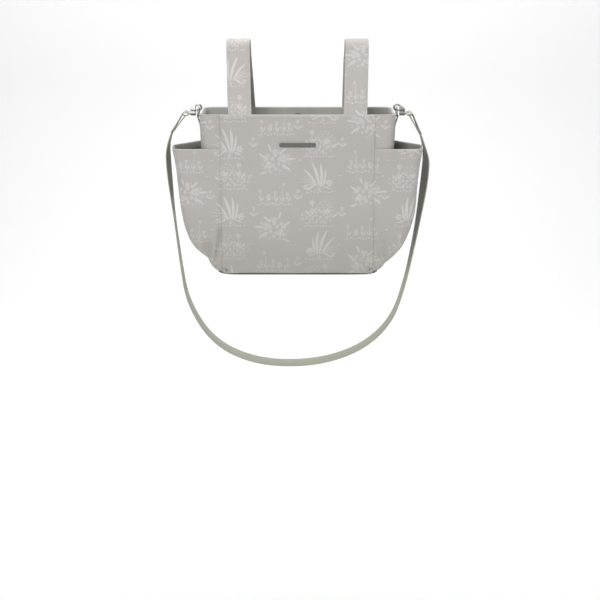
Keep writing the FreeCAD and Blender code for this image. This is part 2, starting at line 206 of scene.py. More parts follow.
def rgb(red, green, blue):
    """A display colour from 0 to 255, as the linear colour that a shader takes."""
    def linear(value):
        value = value / 255.0
        return value / 12.92 if value <= 0.04045 else ((value + 0.055) / 1.055) ** 2.4
    return (linear(red), linear(green), linear(blue), 1.0)


def tinted(colour, factor):
    """A colour made darker or paler by a factor."""
    return (colour[0] * factor, colour[1] * factor, colour[2] * factor, 1.0)


def new_material(name):
    material = bpy.data.materials.new(name)
    material.use_nodes = True
    return material, material.node_tree


def dress(material, colour, roughness, height, depth, strength, plain):
    """Give a material its colour, roughness and bump, and the plain values of other inputs."""
    tree = material.node_tree
    shader = tree.nodes["Principled BSDF"]
    feed(tree, shader.inputs["Base Color"], colour)
    feed(tree, shader.inputs["Roughness"], roughness)
    for name, value in plain.items():
        shader.inputs[name].default_value = value
    node = new_node(tree, "Bump", {"Strength": strength, "Distance": depth, "Height": height})
    tree.links.new(node.outputs[0], shader.inputs["Normal"])
    return material


def local(place, at, turn=0.0, size=(1.0, 1.0)):
    """Place seen from a shape's own middle, turned by degrees and divided by the shape's size."""
    node = new_node(place.tree, "Mapping", {
        "Vector": place, "Location": (at[0], at[1], 0.0), "Scale": (size[0], size[1], 1.0),
        "Rotation": (0.0, 0.0, math.radians(turn))}, vector_type="TEXTURE")
    return Term(place.tree, node.outputs[0])


PRINT_BLUR = 0.35         # millimetres from full ink to none

# Each shape below is above 0 where it has ink and below 0 where it has none, and 1 is full ink.
# Shapes are joined by their maximum and cut by their minimum, and held to 0 and 1 at the end.


def oval(place, x, y, half_length, half_width, turn=0.0):
    away = local(place, (x, y), turn, (half_length, half_width)).length()
    sharp = half_width / PRINT_BLUR
    return away.line(-sharp, sharp)


def blade(place, x, y, turn, length, width, bend):
    """A leaf that grows from x, y at turn degrees, and curves to its left by bend."""
    along, across, _ = local(place, (x, y), turn, (length, length)).parts()
    square = along * along
    off = abs(square.line(-bend, across))
    full = (along - square).math("POWER", 0.6)
    room = full * (2.3 * width / length)
    return (room - off) * (length / PRINT_BLUR)


def scalloped(offset, petals, depth):
    """Reach of a flower's edge in its own size: 1 at the tip of each petal, and less between."""
    across, up, _ = offset.parts()
    wave = (up.math("ARCTAN2", across) * float(petals)).math("COSINE")
    return wave.line(depth, 1.0 - depth)


def blossom(place, x, y, radius, petals, turn=0.0):
    """A round flower with scalloped edge and an open ring about its middle."""
    seen = local(place, (x, y), turn, (radius, radius))
    away = seen.length()
    sharp = radius / PRINT_BLUR
    disc = (scalloped(seen, petals, 0.16) - away) * sharp
    ring = abs(away - 0.36).line(sharp, -0.06 * sharp)
    return disc.math("MINIMUM", ring)


def ground(place, y, half_width, step):
    """A broken line of small tufts that a motif stands on."""
    across, up, _ = place.parts()
    beat = ((across * (1.0 / step)).math("FRACT") - 0.5) * (step / 2.1)
    wave = (across * (2.1 / step)).math("SINE")
    height = (up - y) + wave * 0.9
    away = (beat * beat + height * height * 0.9).math("SQRT")
    tufts = away.line(-2.2, 2.2)
    return tufts.math("MINIMUM", abs(across).line(-0.5, half_width * 0.5))


def cluster(place, x, y, half_width, half_height, spacing, radius, petals):
    """Little flowers in the cells of a loose net, inside an oval with an uneven edge."""
    node = new_node(place.tree, "TexVoronoi", {
        "Vector": place, "Scale": 1.0 / spacing, "Randomness": 0.75}, voronoi_dimensions="2D")
    away = Term(place.tree, node.outputs["Distance"])
    centre = Term(place.tree, node.outputs["Position"])
    edge = scalloped(place.vector("SUBTRACT", centre), petals, 0.22) * (radius / spacing)
    sharp = spacing / PRINT_BLUR
    disc = (edge - away) * sharp
    heart = away.line(sharp, -0.2 * radius / spacing * sharp)
    uneven = noise(place, 0.16, 1.0)
    out = local(place, (x, y), 0.0, (half_width, half_height)).length()
    inside = (uneven * 0.7 - out).line(6.0, 4.2)
    return disc.math("MINIMUM", heart).math("MINIMUM", inside)


def drawing(*kinds):
    """A motif from pairs: a shape's function, and a row of numbers for each shape of that kind.

    Each shape joins the ones before it at once, so that its nodes stand together in the tree.
    """
    def draw(place):
        ink = None
        for function, rows in kinds:
            for row in rows:
                shape = function(place, *row)
                ink = shape if ink is None else ink.math("MAXIMUM", shape)
        return ink
    return draw


# A blade's row is x, y, turn, length, width, bend. A blossom's is x, y, radius, petals, turn.
# A cluster's is x, y, half width, half height, then its flowers' spacing, radius and petals.

reeds = drawing(
    (blade, [(-3.0, -14.0, 116.0, 27.0, 1.7, -0.24), (-1.0, -14.0, 101.0, 35.0, 2.3, -0.20),
             (1.0, -14.0, 86.0, 38.0, 2.4, -0.22), (4.0, -14.0, 70.0, 33.0, 1.9, -0.30),
             (6.0, -10.0, 56.0, 23.0, 0.7, -0.42), (6.0, -10.0, 42.0, 26.0, 0.7, -0.42),
             (6.0, -10.0, 28.0, 25.0, 0.7, -0.42), (6.0, -10.0, 12.0, 21.0, 0.7, -0.42),
             (-3.0, -11.0, 150.0, 19.0, 0.8, 0.35), (-3.0, -11.0, 132.0, 19.0, 0.8, 0.35),
             (6.0, -9.0, -40.0, 17.0, 1.6, 0.10), (-5.0, -12.0, 205.0, 12.0, 1.2, -0.10)]),
    (blossom, [(-14.0, -8.0, 5.0, 6), (21.0, -14.0, 3.6, 5, 20.0), (1.0, -17.0, 3.0, 5, 10.0)]),
    (ground, [(-21.0, 22.0, 5.2)]))

posy = drawing(
    (cluster, [(0.0, 1.0, 21.0, 17.0, 7.4, 3.1, 5), (-2.0, -3.0, 25.0, 18.0, 3.4, 1.0, 4)]),
    (blossom, [(-9.0, 4.0, 5.0, 7), (10.0, -6.0, 5.6, 8), (1.0, 13.0, 3.8, 6)]),
    (blade, [(x, y, turn, 13.0, 1.5, 0.12) for x, y, turn in (
        (-12.0, -6.0, 214.0), (14.0, 4.0, 30.0), (6.0, 14.0, 62.0), (-6.0, 10.0, 128.0),
        (-16.0, 2.0, 165.0), (12.0, -14.0, -30.0))]))

STEMS = ((-19.0, 17.0, 6.0), (-9.0, 11.0, -5.0), (2.0, 15.0, 4.0), (11.0, 28.0, -6.0),
         (21.0, 13.0, 8.0))       # of the meadow: x, height, lean in degrees
meadow = drawing(
    (blade, [(x, -14.0, 90.0 + lean, height, 0.55, 0.06) for x, height, lean in STEMS]),
    (blossom, [(x - lean * height / 60.0, height - 14.0, 2.9, 5, lean)
               for x, height, lean in STEMS]),
    (blade, [(x, -11.0, 52.0, 7.5, 1.0, 0.2) for x, _, _ in STEMS]),
    (blade, [(x, -10.0, 132.0, 6.5, 0.9, -0.2) for x, _, _ in STEMS]),
    (cluster, [(0.0, -9.0, 27.0, 6.5, 3.6, 1.1, 4)]),
    (ground, [(-15.5, 27.0, 4.6)]))

garden = drawing(
    (cluster, [(-3.0, -4.0, 24.0, 13.0, 5.2, 2.1, 5), (10.0, 6.0, 14.0, 14.0, 4.2, 1.5, 4)]),
    (blade, [(-12.0, -8.0, 80.0, 26.0, 0.7, 0.10), (-11.0, 0.0, 40.0, 10.0, 1.3, 0.2),
             (-12.0, -2.0, 145.0, 11.0, 1.3, -0.2), (18.0, -6.0, 24.0, 12.0, 1.3, 0.2)]),
    (blossom, [(-10.0, 17.0, 4.0, 5), (13.0, 4.0, 4.6, 7)]),
    (ground, [(-18.0, 24.0, 4.4)]))

sprig = drawing(
    (blade, [(0.0, -9.0, 90.0, 14.0, 0.6, 0.08), (0.0, -7.0, 42.0, 8.5, 1.2, 0.15),
             (0.0, -7.0, 140.0, 8.0, 1.1, -0.15)]),
    (blossom, [(0.5, 6.0, 3.2, 5), (-5.5, -1.0, 2.2, 5), (6.0, -2.5, 2.4, 5)]))

dash = drawing((oval, [(0.0, 0.0, 3.4, 0.8, 4.0)]))

MOTIF_SIZE = 1.14
CELL = (74.0, 58.0)       # one motif's share of the cloth, across and down, in millimetres


def stepped(motif, x, y, step_x, step_y):
    """A motif that stands once in each step across and down, at x, y."""
    def draw(place):
        moved = place.vector("SUBTRACT", (x, y, 0.0))
        half = (step_x / 2.0, step_y / 2.0, 1.0)
        wrapped = moved.vector("WRAP", half, (-half[0], -half[1], -half[2]))
        return motif(wrapped.vector("MULTIPLY", (1.0, 1.0, 0.0)))
    return draw


def combined(across, up, tree):
    """A vector in the cloth's plane from its two parts."""
    return Term(tree, new_node(tree, "CombineXYZ", (across, up)).outputs[0])


def motifs_in_cells(place):
    """Four large motifs by turns, one in each cell, every other column dropped by half a cell."""
    tree = place.tree
    across, up, _ = place.parts()
    column = (across * (1.0 / CELL[0])).math("FLOOR")
    dropped = column.math("FLOORED_MODULO", 2.0).line(CELL[1] / 2.0, up)
    row = (dropped * (1.0 / CELL[1])).math("FLOOR")
    x = across - column.line(CELL[0], CELL[0] / 2.0)
    y = dropped - row.line(CELL[1], CELL[1] / 2.0)
    cell = combined(column, row, tree)
    node = new_node(tree, "TexWhiteNoise", {"Vector": cell}, noise_dimensions="2D")
    stray = Term(tree, node.outputs["Color"])
    shift = stray.vector("MULTIPLY_ADD", (9.0, 6.0, 0.0), (-4.5, -3.0, 0.0))
    turned, _, _ = stray.parts()
    side = (turned * 7.0).math("FRACT").math("GREATER_THAN", 0.5).line(2.0, -1.0)
    inside = combined(x, y, tree).vector("ADD", shift)
    flipped = inside.vector("MULTIPLY", combined(side, 1.0, tree)).scaled(1.0 / MOTIF_SIZE)
    kind = row.line(2.0, column).math("FLOORED_MODULO", 4.0)
    ink = None
    for number, motif in enumerate((reeds, posy, garden, meadow)):
        chosen = kind.math("COMPARE", float(number), 0.5).line(40.0, -20.0)
        drawn = motif(flipped).math("MINIMUM", chosen)
        ink = drawn if ink is None else ink.math("MAXIMUM", drawn)
    return ink


def botanical_print(place):
    """Ink from 0 to 1 at a place on the cloth."""
    wobble = noise(place, 0.22, 1.0, "Color").vector("SUBTRACT", (0.5, 0.5, 0.5))
    drawn = place.vector("ADD", wobble.scaled(1.8))
    wide = 2.0 * CELL[0]
    high = 2.0 * CELL[1]
    layers = [motifs_in_cells, stepped(sprig, 0.0, 0.0, wide, high),
              stepped(sprig, CELL[0], 1.5 * CELL[1], wide, high),
              stepped(dash, 3.0, CELL[1], wide, high),
              stepped(dash, CELL[0] - 4.0, 0.55 * CELL[1], CELL[0], high)]
    return drawing(*((layer, [()]) for layer in layers))(drawn).held()


def plain_weave(place, yarn):
    """Height of a plain weave with the given yarn spacing, in millimetres."""
    across, along, _ = place.parts()
    step = math.pi / yarn
    return (across * step).math("SINE") * (along * step).math("SINE")


def printed_fabric():
    """Taupe printed fabric: a fine weave, a little wear along its edges, and painted shade that makes
    it duller towards its foot.
    """
    material, tree = new_material("printed_canvas_look")
    flat, wear = on_cloth(tree)
    _, up, _ = flat.parts()
    # Painted shade, greyish green, darkens the cloth by up to 0.3 from 255 mm below the bar down over
    # 115 mm.
    painted_shade_top, painted_shade_depth = -255.0, 115.0
    low = up.line(-1.0 / painted_shade_depth, painted_shade_top / painted_shade_depth).held()
    ink = botanical_print(flat)
    ground_colour = rgb(191, 186, 182)
    cloudy = noise(flat, 0.035, 3.0)
    slubs = noise(flat.vector("MULTIPLY", (0.25, 1.6, 0.0)), 1.0, 2.0)
    base = mix(cloudy, tinted(ground_colour, 0.95), tinted(ground_colour, 1.04))
    base = mix(slubs * 0.5, base, tinted(ground_colour, 0.93))
    dry = noise(flat, 1.3, 2.0).line(0.5, 0.52).held()
    printed = mix(ink * dry, base, rgb(218, 214, 211))
    worn = mix(wear * 0.35, printed, rgb(208, 205, 201))
    foot_painted_shade = mix(low * 0.3, worn, rgb(140, 144, 132))
    roughness = cloudy.line(0.12, 0.66) - ink * 0.05
    height = plain_weave(flat, 0.55) * 0.5 + slubs * 0.6 + noise(flat, 0.12, 2.0) * 3.0
    return dress(material, foot_painted_shade, roughness, height, 0.22 * MM, 0.5, {
        "Sheen Weight": 0.12, "Sheen Roughness": 0.5, "Specular IOR Level": 0.32})


def plain_fabric(name, colour, yarn, twill=0.0, rough=0.8):
    """A plain woven fabric. Twill above 0 turns the weave into slanted ribs."""
    material, tree = new_material(name)
    flat, wear = on_cloth(tree)
    across, along, _ = flat.parts()
    if twill > 0.0:
        rib = ((across + along * twill) * (math.pi * 2.0 / yarn)).math("SINE")
    else:
        rib = plain_weave(flat, yarn)
    cloudy = noise(flat, 0.05, 3.0)
    base = mix(cloudy, tinted(colour, 0.86), tinted(colour, 1.12))
    shaded = mix(rib.line(0.12, 0.14).held(), base, tinted(colour, 0.7))
    worn = mix(wear * 0.25, shaded, tinted(colour, 1.35))
    roughness = cloudy.line(0.12, rough - 0.06)
    return dress(material, worn, roughness, rib * 0.5 + noise(flat, 0.4, 2.0), 0.3 * MM, 0.55, {
        "Sheen Weight": 0.15, "Specular IOR Level": 0.3})


def woven_webbing():
    """Sage strap webbing: a herringbone face between two plain edges."""
    material, tree = new_material("webbing_look")
    flat, mark = on_cloth(tree)
    across, along, _ = flat.parts()
    chevron = abs((across * (1.0 / 5.0)).math("FRACT") - 0.5) * 5.0
    rib = ((along + chevron) * (math.pi * 2.0 / 1.25)).math("SINE")
    yarn = (across * (math.pi * 2.0 / 1.25)).math("SINE")
    edge = abs(across).line(1.2, -1.2 * 17.8).held()
    colour = rgb(190, 192, 176)
    cloudy = noise(flat, 0.08, 3.0)
    base = mix(cloudy, tinted(colour, 0.9), tinted(colour, 1.08))
    shaded = mix(rib.line(0.16, 0.16).held(), base, tinted(colour, 0.72))
    edged = mix(edge * 0.3, shaded, tinted(colour, 1.15))
    # Painted shade: marks below 0 darken the webbing down to a fifth of its colour.
    painted_shade = mix((mark * -0.9).held(), edged, tinted(colour, 0.2))
    roughness = cloudy.line(0.14, 0.58)
    height = rib * 0.6 + yarn * 0.3 + edge * 0.4
    return dress(material, painted_shade, roughness, height, 0.3 * MM, 0.6, {
        "Sheen Weight": 0.15, "Specular IOR Level": 0.35})


def grained(name, grain, dark, pale, rough, spread, depth, strength, sheen=0.0):
    """A dull material whose colour, roughness and height all follow one fine noise."""
    material, tree = new_material(name)
    height = noise(on_object(tree), *grain)
    roughness = height.line(spread, rough)
    return dress(material, mix(height, dark, pale), roughness, height, depth, strength, {
        "Sheen Weight": sheen})


def metal(name, colour, rough, streak):
    """Plated metal with fine brush marks along streak, and duller worn patches."""
    material, tree = new_material(name)
    place = on_object(tree)
    marks = noise(place.vector("MULTIPLY", streak), 1.0, 3.0)
    worn = noise(place, 0.25, 3.0)
    base = mix(worn, tinted(colour, 0.82), tinted(colour, 1.06))
    roughness = marks.line(0.14, rough - 0.08) + worn * 0.08
    return dress(material, base, roughness, marks, 0.05 * MM, 0.25, {"Metallic": 1.0})


THREAD = rgb(196, 193, 188)
LOOK = {
    "print": printed_fabric(),
    "lining": plain_fabric("lining_look", rgb(158, 161, 153), 1.1, 1.0),
    "facing": plain_fabric("facing_look", rgb(192, 192, 184), 0.7),
    "edge": plain_fabric("turned_edge_look", rgb(192, 188, 184), 0.6),
    "base": plain_fabric("base_look", rgb(150, 151, 143), 0.8, 0.0, 0.75),
    "piping": plain_fabric("piping_look", rgb(92, 92, 84), 0.7),
    "webbing": woven_webbing(),
    "thread": grained("thread_look", (2.5, 1.0), tinted(THREAD, 0.86), tinted(THREAD, 1.1),
                      0.5, 0.15, 0.1 * MM, 0.4),
    "tape": grained("hook_and_loop_look", (1.6, 3.0), rgb(18, 18, 19), rgb(54, 54, 56),
                    0.72, 0.2, 0.8 * MM, 0.9, 0.4),
    "nickel": metal("nickel_look", rgb(186, 186, 180), 0.30, (0.4, 2.5, 2.5)),
    "spring": metal("spring_look", rgb(170, 172, 175), 0.25, (3.0, 0.5, 0.5)),
    "plate": metal("plate_look", rgb(150, 149, 144), 0.34, (0.15, 4.0, 4.0)),
    "board": grained("board_look", (0.8, 3.0), rgb(120, 112, 98), rgb(150, 142, 126),
                     0.8, 0.1, 0.2 * MM, 0.4),
}


# ---------------------------------------------------------------- mesh helpers

def make_object(name, points, faces, cloth, look, body):
    """A smooth mesh piece. Cloth gives each point its place on the flat cloth, and its mark."""
    mesh = bpy.data.meshes.new(name)
    mesh.from_pydata(points.tolist(), [], faces)
    layer = mesh.attributes.new("cloth", "FLOAT_VECTOR", "POINT")
    layer.data.foreach_set("vector", cloth.astype(np.float32).ravel())
    mesh.polygons.foreach_set("use_smooth", [True] * len(mesh.polygons))
    mesh.materials.append(LOOK[look])
    mesh.update()
    piece = bpy.data.objects.new(name, mesh)
    bpy.context.scene.collection.objects.link(piece)
    if body:
        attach(piece, body)
    return piece


def unit(vectors):
    return vectors / np.maximum(np.linalg.norm(vectors, axis=-1, keepdims=True), 1e-12)


def grid_normals(grid, closed=False):
    if closed:
        padded = np.concatenate([grid[:, -1:], grid, grid[:, :1]], axis=1)
        across = (padded[:, 2:] - padded[:, :-2]) / 2.0
    else:
        across = np.gradient(grid, axis=1)
    return unit(np.cross(across, np.gradient(grid, axis=0)))


def grid_faces(rows, cols, start=0, closed=False, flip=False):
    """Four-cornered faces between the points of a grid, whose first point has the index start."""
    i, j = np.meshgrid(np.arange(rows - 1), np.arange(cols if closed else cols - 1), indexing="ij")
    right = (j + 1) % cols
    corners = [i * cols + j, i * cols + right, (i + 1) * cols + right, (i + 1) * cols + j]
    faces = start + np.stack(corners, axis=-1).reshape(-1, 4)
    return (faces[:, ::-1] if flip else faces).tolist()


def border(rows, cols, closed):
    """Rings of indices round a grid's border, each index with the one next inside it."""
    index = np.arange(rows * cols).reshape(rows, cols)
    top = list(zip(index[0], index[1]))
    if closed:
        return [top, list(zip(index[-1], index[-2]))[::-1]]
    right = list(zip(index[1:, -1], index[1:, -2]))
    bottom = list(zip(index[-1, :-1], index[-2, :-1]))
    left = list(zip(index[1:-1, 0], index[1:-1, 1]))
    return [top + right + bottom[::-1] + left[::-1]]


def shell(name, grid, flat, thickness, look, closed=False, inward=1.0):
    """A sheet of fabric: the grid is its outer face, and its edges are rounded."""
    rows, cols = grid.shape[:2]
    normals = grid_normals(grid, closed) * inward
    outer = grid.reshape(-1, 3)
    inner = (grid + normals * thickness).reshape(-1, 3)
    count = rows * cols
    faces = grid_faces(rows, cols, 0, closed, inward > 0)
    faces += grid_faces(rows, cols, count, closed, inward < 0)
    cloth = np.concatenate([flat, edge_wear(grid, closed)[..., None]], axis=2).reshape(-1, 3)
    middles = []
    middle_cloth = []
    start = count * 2
    for ring in border(rows, cols, closed):
        for here, inside in ring:
            away = unit(outer[here] - outer[inside])
            middles.append((outer[here] + inner[here]) / 2.0 + away * thickness * 0.45)
            middle_cloth.append(cloth[here])
        size = len(ring)
        for i in range(size):
            one = ring[i][0]
            two = ring[(i + 1) % size][0]
            mid_one = start + i
            mid_two = start + (i + 1) % size
            quads = [[one, two, mid_two, mid_one], [mid_one, mid_two, two + count, one + count]]
            faces += [quad if inward > 0 else quad[::-1] for quad in quads]
        start += size
    points = np.concatenate([outer, inner, np.array(middles)])
    cloth = np.concatenate([cloth, cloth, np.array(middle_cloth)])
    return make_object(name, points, faces, cloth, look, BAG)


def path_length(points, axis=0):
    """Distance along a line of points, or along each line of a grid in one direction."""
    total = np.cumsum(np.linalg.norm(np.diff(points, axis=axis), axis=-1), axis=axis)
    return np.concatenate([np.zeros_like(total.take([0], axis=axis)), total], axis=axis)


def edge_wear(grid, closed):
    """1 at the sheet's edges and falling to 0 within a few millimetres."""
    down = path_length(grid)
    away = np.minimum(down, down[-1] - down)
    if not closed:
        right = path_length(grid, 1)
        away = np.minimum(away, np.minimum(right, right[:, -1:] - right))
    return np.exp(-away / (1.8 * MM))


def along_line(wanted, along, values):
    return np.stack([np.interp(wanted, along, column) for column in values.T], axis=1)


def resampled(points, count):
    along = path_length(points)
    return along_line(np.linspace(0.0, along[-1], count), along, points)


def ribbon(name, path, sides, width, thickness, look, body=BAG, flat_start=0.0, flat_middle=0.0,
           across=16, painted_shade=None):
    """A flat strip along a path. Sides are unit vectors across it: one, or one to each point.

    The last argument gives painted shade from 0 to 1 at each point, which darkens one face there: the
    one on the normals' side.
    """
    sides = unit(np.broadcast_to(sides, path.shape))
    tangents = unit(np.gradient(path, axis=0))
    normals = unit(np.cross(tangents, sides))
    softness = 0.5 * thickness
    step = np.linspace(-1.0, 1.0, across)
    upper = np.column_stack([step * (width / 2.0 - softness * 0.5),
                             softness * (1.0 - 0.35 * np.abs(step) ** 8)])
    section = np.concatenate([upper, [(width / 2.0, 0.0)], upper[::-1] * (1.0, -1.0),
                              [(-width / 2.0, 0.0)]])
    size = len(section)
    points = (path[:, None, :] + sides[:, None, :] * section[None, :, :1]
              + normals[:, None, :] * section[None, :, 1:])
    cloth = np.zeros(points.shape)
    cloth[..., 0] = section[:, 0] + flat_middle
    cloth[..., 1] = (path_length(path) + flat_start)[:, None]
    cloth[..., 2] = np.exp((np.abs(section[:, 0]) - width / 2.0) / (1.2 * MM))
    # Painted shade is stored in the cloth's mark as a value below 0.
    if painted_shade is not None:
        cloth[:, 1:across - 1, 2] = -painted_shade[:, None]
    faces = grid_faces(len(path), size, 0, True, True)
    faces.append(list(range(size)))
    faces.append([(len(path) - 1) * size + i for i in range(size)][::-1])
    return make_object(name, points.reshape(-1, 3), faces, cloth.reshape(-1, 3), look, body)


def closed_tube(name, path, radius, look):
    """A round cord that runs level round the bag and meets its own start."""
    sides = 10
    count = len(path)
    wrapped = np.concatenate([path[-1:], path, path[:1]])
    tangents = unit(wrapped[2:] - wrapped[:-2])
    left = unit(np.cross(tangents, (0.0, 0.0, 1.0)))
    over = np.cross(left, tangents)
    turn = np.linspace(0.0, 2.0 * math.pi, sides, endpoint=False)[None, :, None]
    points = path[:, None] + (left[:, None] * np.cos(turn) + over[:, None] * np.sin(turn)) * radius
    cloth = np.zeros(points.shape)
    cloth[..., 0] = turn[..., 0] * radius
    cloth[..., 1] = path_length(path)[:, None]
    faces = grid_faces(count + 1, sides, 0, True)
    faces = [[corner % (count * sides) for corner in face] for face in faces]
    return make_object(name, points.reshape(-1, 3), faces, cloth.reshape(-1, 3), look, BAG)


def stitches(name, lines, body, pitch=3.4 * MM):
    """Rows of sewing stitches. Each line is points on a surface and the normals there."""
    ring = 6
    share = 0.68          # of the pitch that a stitch takes
    stations = np.array([(-0.5, 0.15), (-0.42, 0.75), (-0.15, 1.0),
                         (0.15, 1.0), (0.42, 0.75), (0.5, 0.15)])      # along, and thickness
    places, fullness = stations[:, :1], stations[:, 1] * STITCH_R
    lift = ((stations[:, 1] - 0.55) * STITCH_R)[:, None]
    turn = np.linspace(0.0, 2.0 * math.pi, ring, endpoint=False)[None, :, None]
    round_left = np.cos(turn) * fullness[:, None, None]
    round_high = np.sin(turn) * fullness[:, None, None]
    all_points = []
    faces = []
    for points, normals in lines:
        along = path_length(points)
        count = max(int(along[-1] / pitch), 1)
        middles = (np.arange(count) + 0.5) * along[-1] / count
        at = along_line(middles, along, points)
        up = unit(along_line(middles, along, normals))
        ahead = unit(along_line(middles + 0.5 * MM, along, points)
                     - along_line(middles - 0.5 * MM, along, points))
        length = along[-1] / count * share
        for middle, forward, left, high in zip(at, ahead, np.cross(ahead, up), up):
            start = len(all_points) * ring * len(stations)
            spine = middle + forward * (places * length) + high * lift
            body_points = spine[:, None] + left * round_left + high * round_high
            all_points.append(body_points.reshape(-1, 3))
            faces += grid_faces(len(stations), ring, start, True, True)
            faces.append([start + j for j in range(ring)])
            faces.append([start + (len(stations) - 1) * ring + j for j in range(ring)][::-1])
    points = np.concatenate(all_points)
    return make_object(name, points, faces, np.zeros((len(points), 3)), "thread", body)


def surface_line(surface, x, z):
    """A surface's points along a line at x and z, and the normals there, away from the bag."""
    step = 0.4 * MM
    points = surface(x, z)
    across = surface(x + step, z) - surface(x - step, z)
    down = surface(x, z - step) - surface(x, z + step)
    normals = unit(np.cross(across, down))
    middle = len(points) // 2
    return points, normals * np.sign(normals[middle, 1] * points[middle, 1])


def row_across(middle, normal, half_width, count):
    """A row of stitches across webbing, at a middle and normal in X and Z: points and normals."""
    span = np.linspace(-half_width, half_width, count)
    points = np.column_stack([np.full(count, middle[0]), span, np.full(count, middle[1])])
    return points, np.tile([normal[0], 0.0, normal[1]], (count, 1))


def folded(bar, foot, radius, lap, leg, overlap):
    """Webbing folded round a bar, from its foot and back, with the directions along and across."""
    ahead = unit(bar - foot)
    across = np.array([-ahead[1], ahead[0]])
    turn = np.linspace(-math.pi / 2.0, math.pi / 2.0, 16)[:, None]
    bend = bar + (ahead * np.cos(turn) + across * np.sin(turn)) * radius
    first = [foot - across * lap, foot + ahead * leg - across * lap]
    last = [foot + ahead * leg + across * lap, foot + across * lap - ahead * overlap]
    return np.concatenate([first, bend, last]), ahead, across


# ---------------------------------------------------------------- the bag's form

def share_down(z):
    return (RIM_Z - z) / (RIM_Z - PANEL_FOOT_Z)


def curve_under(z, start, amount):
    """How far the wall has curved in at height z, when it starts to curve at start."""
    down = np.clip((start - z) / (start - BASE_Z), 0.0, 1.0)
    return amount * (1.0 - np.sqrt(np.maximum(1.0 - down * down, 0.0)))


def half_width(z):
    straight = RIM_HALF_WIDTH + (BASE_HALF_WIDTH - RIM_HALF_WIDTH) * share_down(z)
    return straight - curve_under(z, -332.0 * MM, 27.0 * MM)


def half_depth(z):
    straight = RIM_HALF_DEPTH + (BASE_HALF_DEPTH - RIM_HALF_DEPTH) * share_down(z)
    return straight - curve_under(z, -272.0 * MM, 15.0 * MM)


def corner_radius(z):
    return np.interp(-z, [100.0 * MM, 330.0 * MM, 372.0 * MM], [14.0 * MM, 24.0 * MM, 27.0 * MM])


def wall_depth(x, z):
    """Distance of the front or back wall from the middle plane at x and z."""
    radius = corner_radius(z)
    over = np.clip(np.abs(x) - (half_width(z) - radius), 0.0, radius * 0.999)
    return half_depth(z) - radius + np.sqrt(radius * radius - over * over)


def waves(first, second, seed, size):
    """Smooth unevenness between about -1 and 1, with bumps of the given size."""
    draw = np.random.default_rng(seed)
    total = np.zeros(np.broadcast(first, second).shape)
    for _ in range(7):
        turn = draw.uniform(0.0, 2.0 * math.pi)
        wave = draw.uniform(0.7, 1.6) * 2.0 * math.pi / size
        phase = draw.uniform(0.0, 2.0 * math.pi)
        total = total + np.sin((first * math.cos(turn) + second * math.sin(turn)) * wave + phase)
    return total / 3.6


def crease(first, second, start, bend, end, width, depth):
    """A soft fold along a curved line from start to end: its depth, falling off to both sides."""
    share = np.linspace(0.0, 1.0, 24)[:, None]
    start, bend, end = (np.array(point) * MM for point in (start, bend, end))
    line = start * (1 - share) ** 2 + bend * 2 * share * (1 - share) + end * share ** 2
    nearest = np.full(np.broadcast(first, second).shape, 1.0)
    where = np.zeros(nearest.shape)
    for (x, z), s in zip(line, share[:, 0]):
        away = np.hypot(first - x, second - z)
        where = np.where(away < nearest, s, where)
        nearest = np.minimum(away, nearest)
    fade = np.sin(np.pi * np.clip(where, 0.04, 0.96)) ** 0.6
    return depth * MM * np.exp(-(nearest / (width * MM)) ** 2) * fade


def middle_panel(facing):
    """Surface of the middle panel on the front (-1) or back (1): x and z to a point."""
    seed = 3 if facing < 0 else 8

    def surface(x, z):
        low = np.clip((share_down(z) - 0.24) / 0.76, 0.0, 1.0)
        crown = np.cos(np.clip(x / SEAM_X, -1, 1) * math.pi / 2.0) * np.sin(low * math.pi) ** 1.3
        uneven = 0.6 * MM * waves(x, z, seed, 120.0 * MM) * np.clip(low * 4.0, 0.0, 1.0)
        edge = np.clip((np.abs(x) - (SEAM_X - 1.6 * MM)) / (2.6 * MM), 0.0, 1.0)
        tuck = 3.0 * MM * (1.0 - np.sqrt(1.0 - edge * edge * 0.98))
        welt = WELT * np.exp(-((np.abs(x) - (SEAM_X - 3.0 * MM)) / (4.0 * MM)) ** 2)
        out = wall_depth(x, z) + PROUD + BELLY * crown + uneven + welt - tuck
        return np.stack([x + 0.0 * z, facing * out, z + 0.0 * x], axis=-1)
    return surface


FRONT = middle_panel(-1.0)
BACK = middle_panel(1.0)
FOOT_Z = BASE_Z + 2.6 * MM


def panel_rows(count):
    """Heights from the rim to the foot, closer together where the wall curves under."""
    share = np.linspace(0.0, 1.0, count)
    return RIM_Z + (FOOT_Z - RIM_Z) * np.sin(share * math.pi / 2.0) ** 1.15


def middle_panels():
    half = SEAM_X + 1.0 * MM
    columns = np.concatenate([np.linspace(-half, -SEAM_X + 2.0 * MM, 6),
                              np.linspace(-SEAM_X + 5.0 * MM, SEAM_X - 5.0 * MM, 90),
                              np.linspace(SEAM_X - 2.0 * MM, half, 6)])
    x, z = np.meshgrid(columns, panel_rows(90))
    for surface, name, inward, offset in ((FRONT, "front_panel", 1.0, 0.0),
                                          (BACK, "back_panel", -1.0, 61.0 * MM)):
        grid = surface(x, z)
        flat = np.stack([x + offset, RIM_Z - path_length(grid)], axis=-1)
        piece = shell(name + "_cloth", grid, flat, CLOTH_T, "print", inward=inward)
        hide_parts(name)


def outline(z, offset, count, start_x=0.0):
    """Points round the right side at height z, from the front wall at start_x to the back wall."""
    width = half_width(z) + offset
    depth = half_depth(z) + offset
    radius = corner_radius(z) + offset
    turn = np.linspace(0.0, math.pi / 2.0, 12)
    corner = np.column_stack([width - radius + radius * np.sin(turn),
                              radius - depth - radius * np.cos(turn)])
    corner = corner[corner[:, 0] > start_x + 0.5 * MM]
    front = np.concatenate([[(start_x, -wall_depth(start_x, z) - offset)], corner])
    return resampled(np.concatenate([front, front[::-1] * (1.0, -1.0)]), count)


def whole_outline(z, offset, count):
    """The closed ring of points round the bag at height z."""
    right = outline(z, offset, count // 2)
    return np.concatenate([right, right[-2:0:-1] * (-1.0, 1.0)])


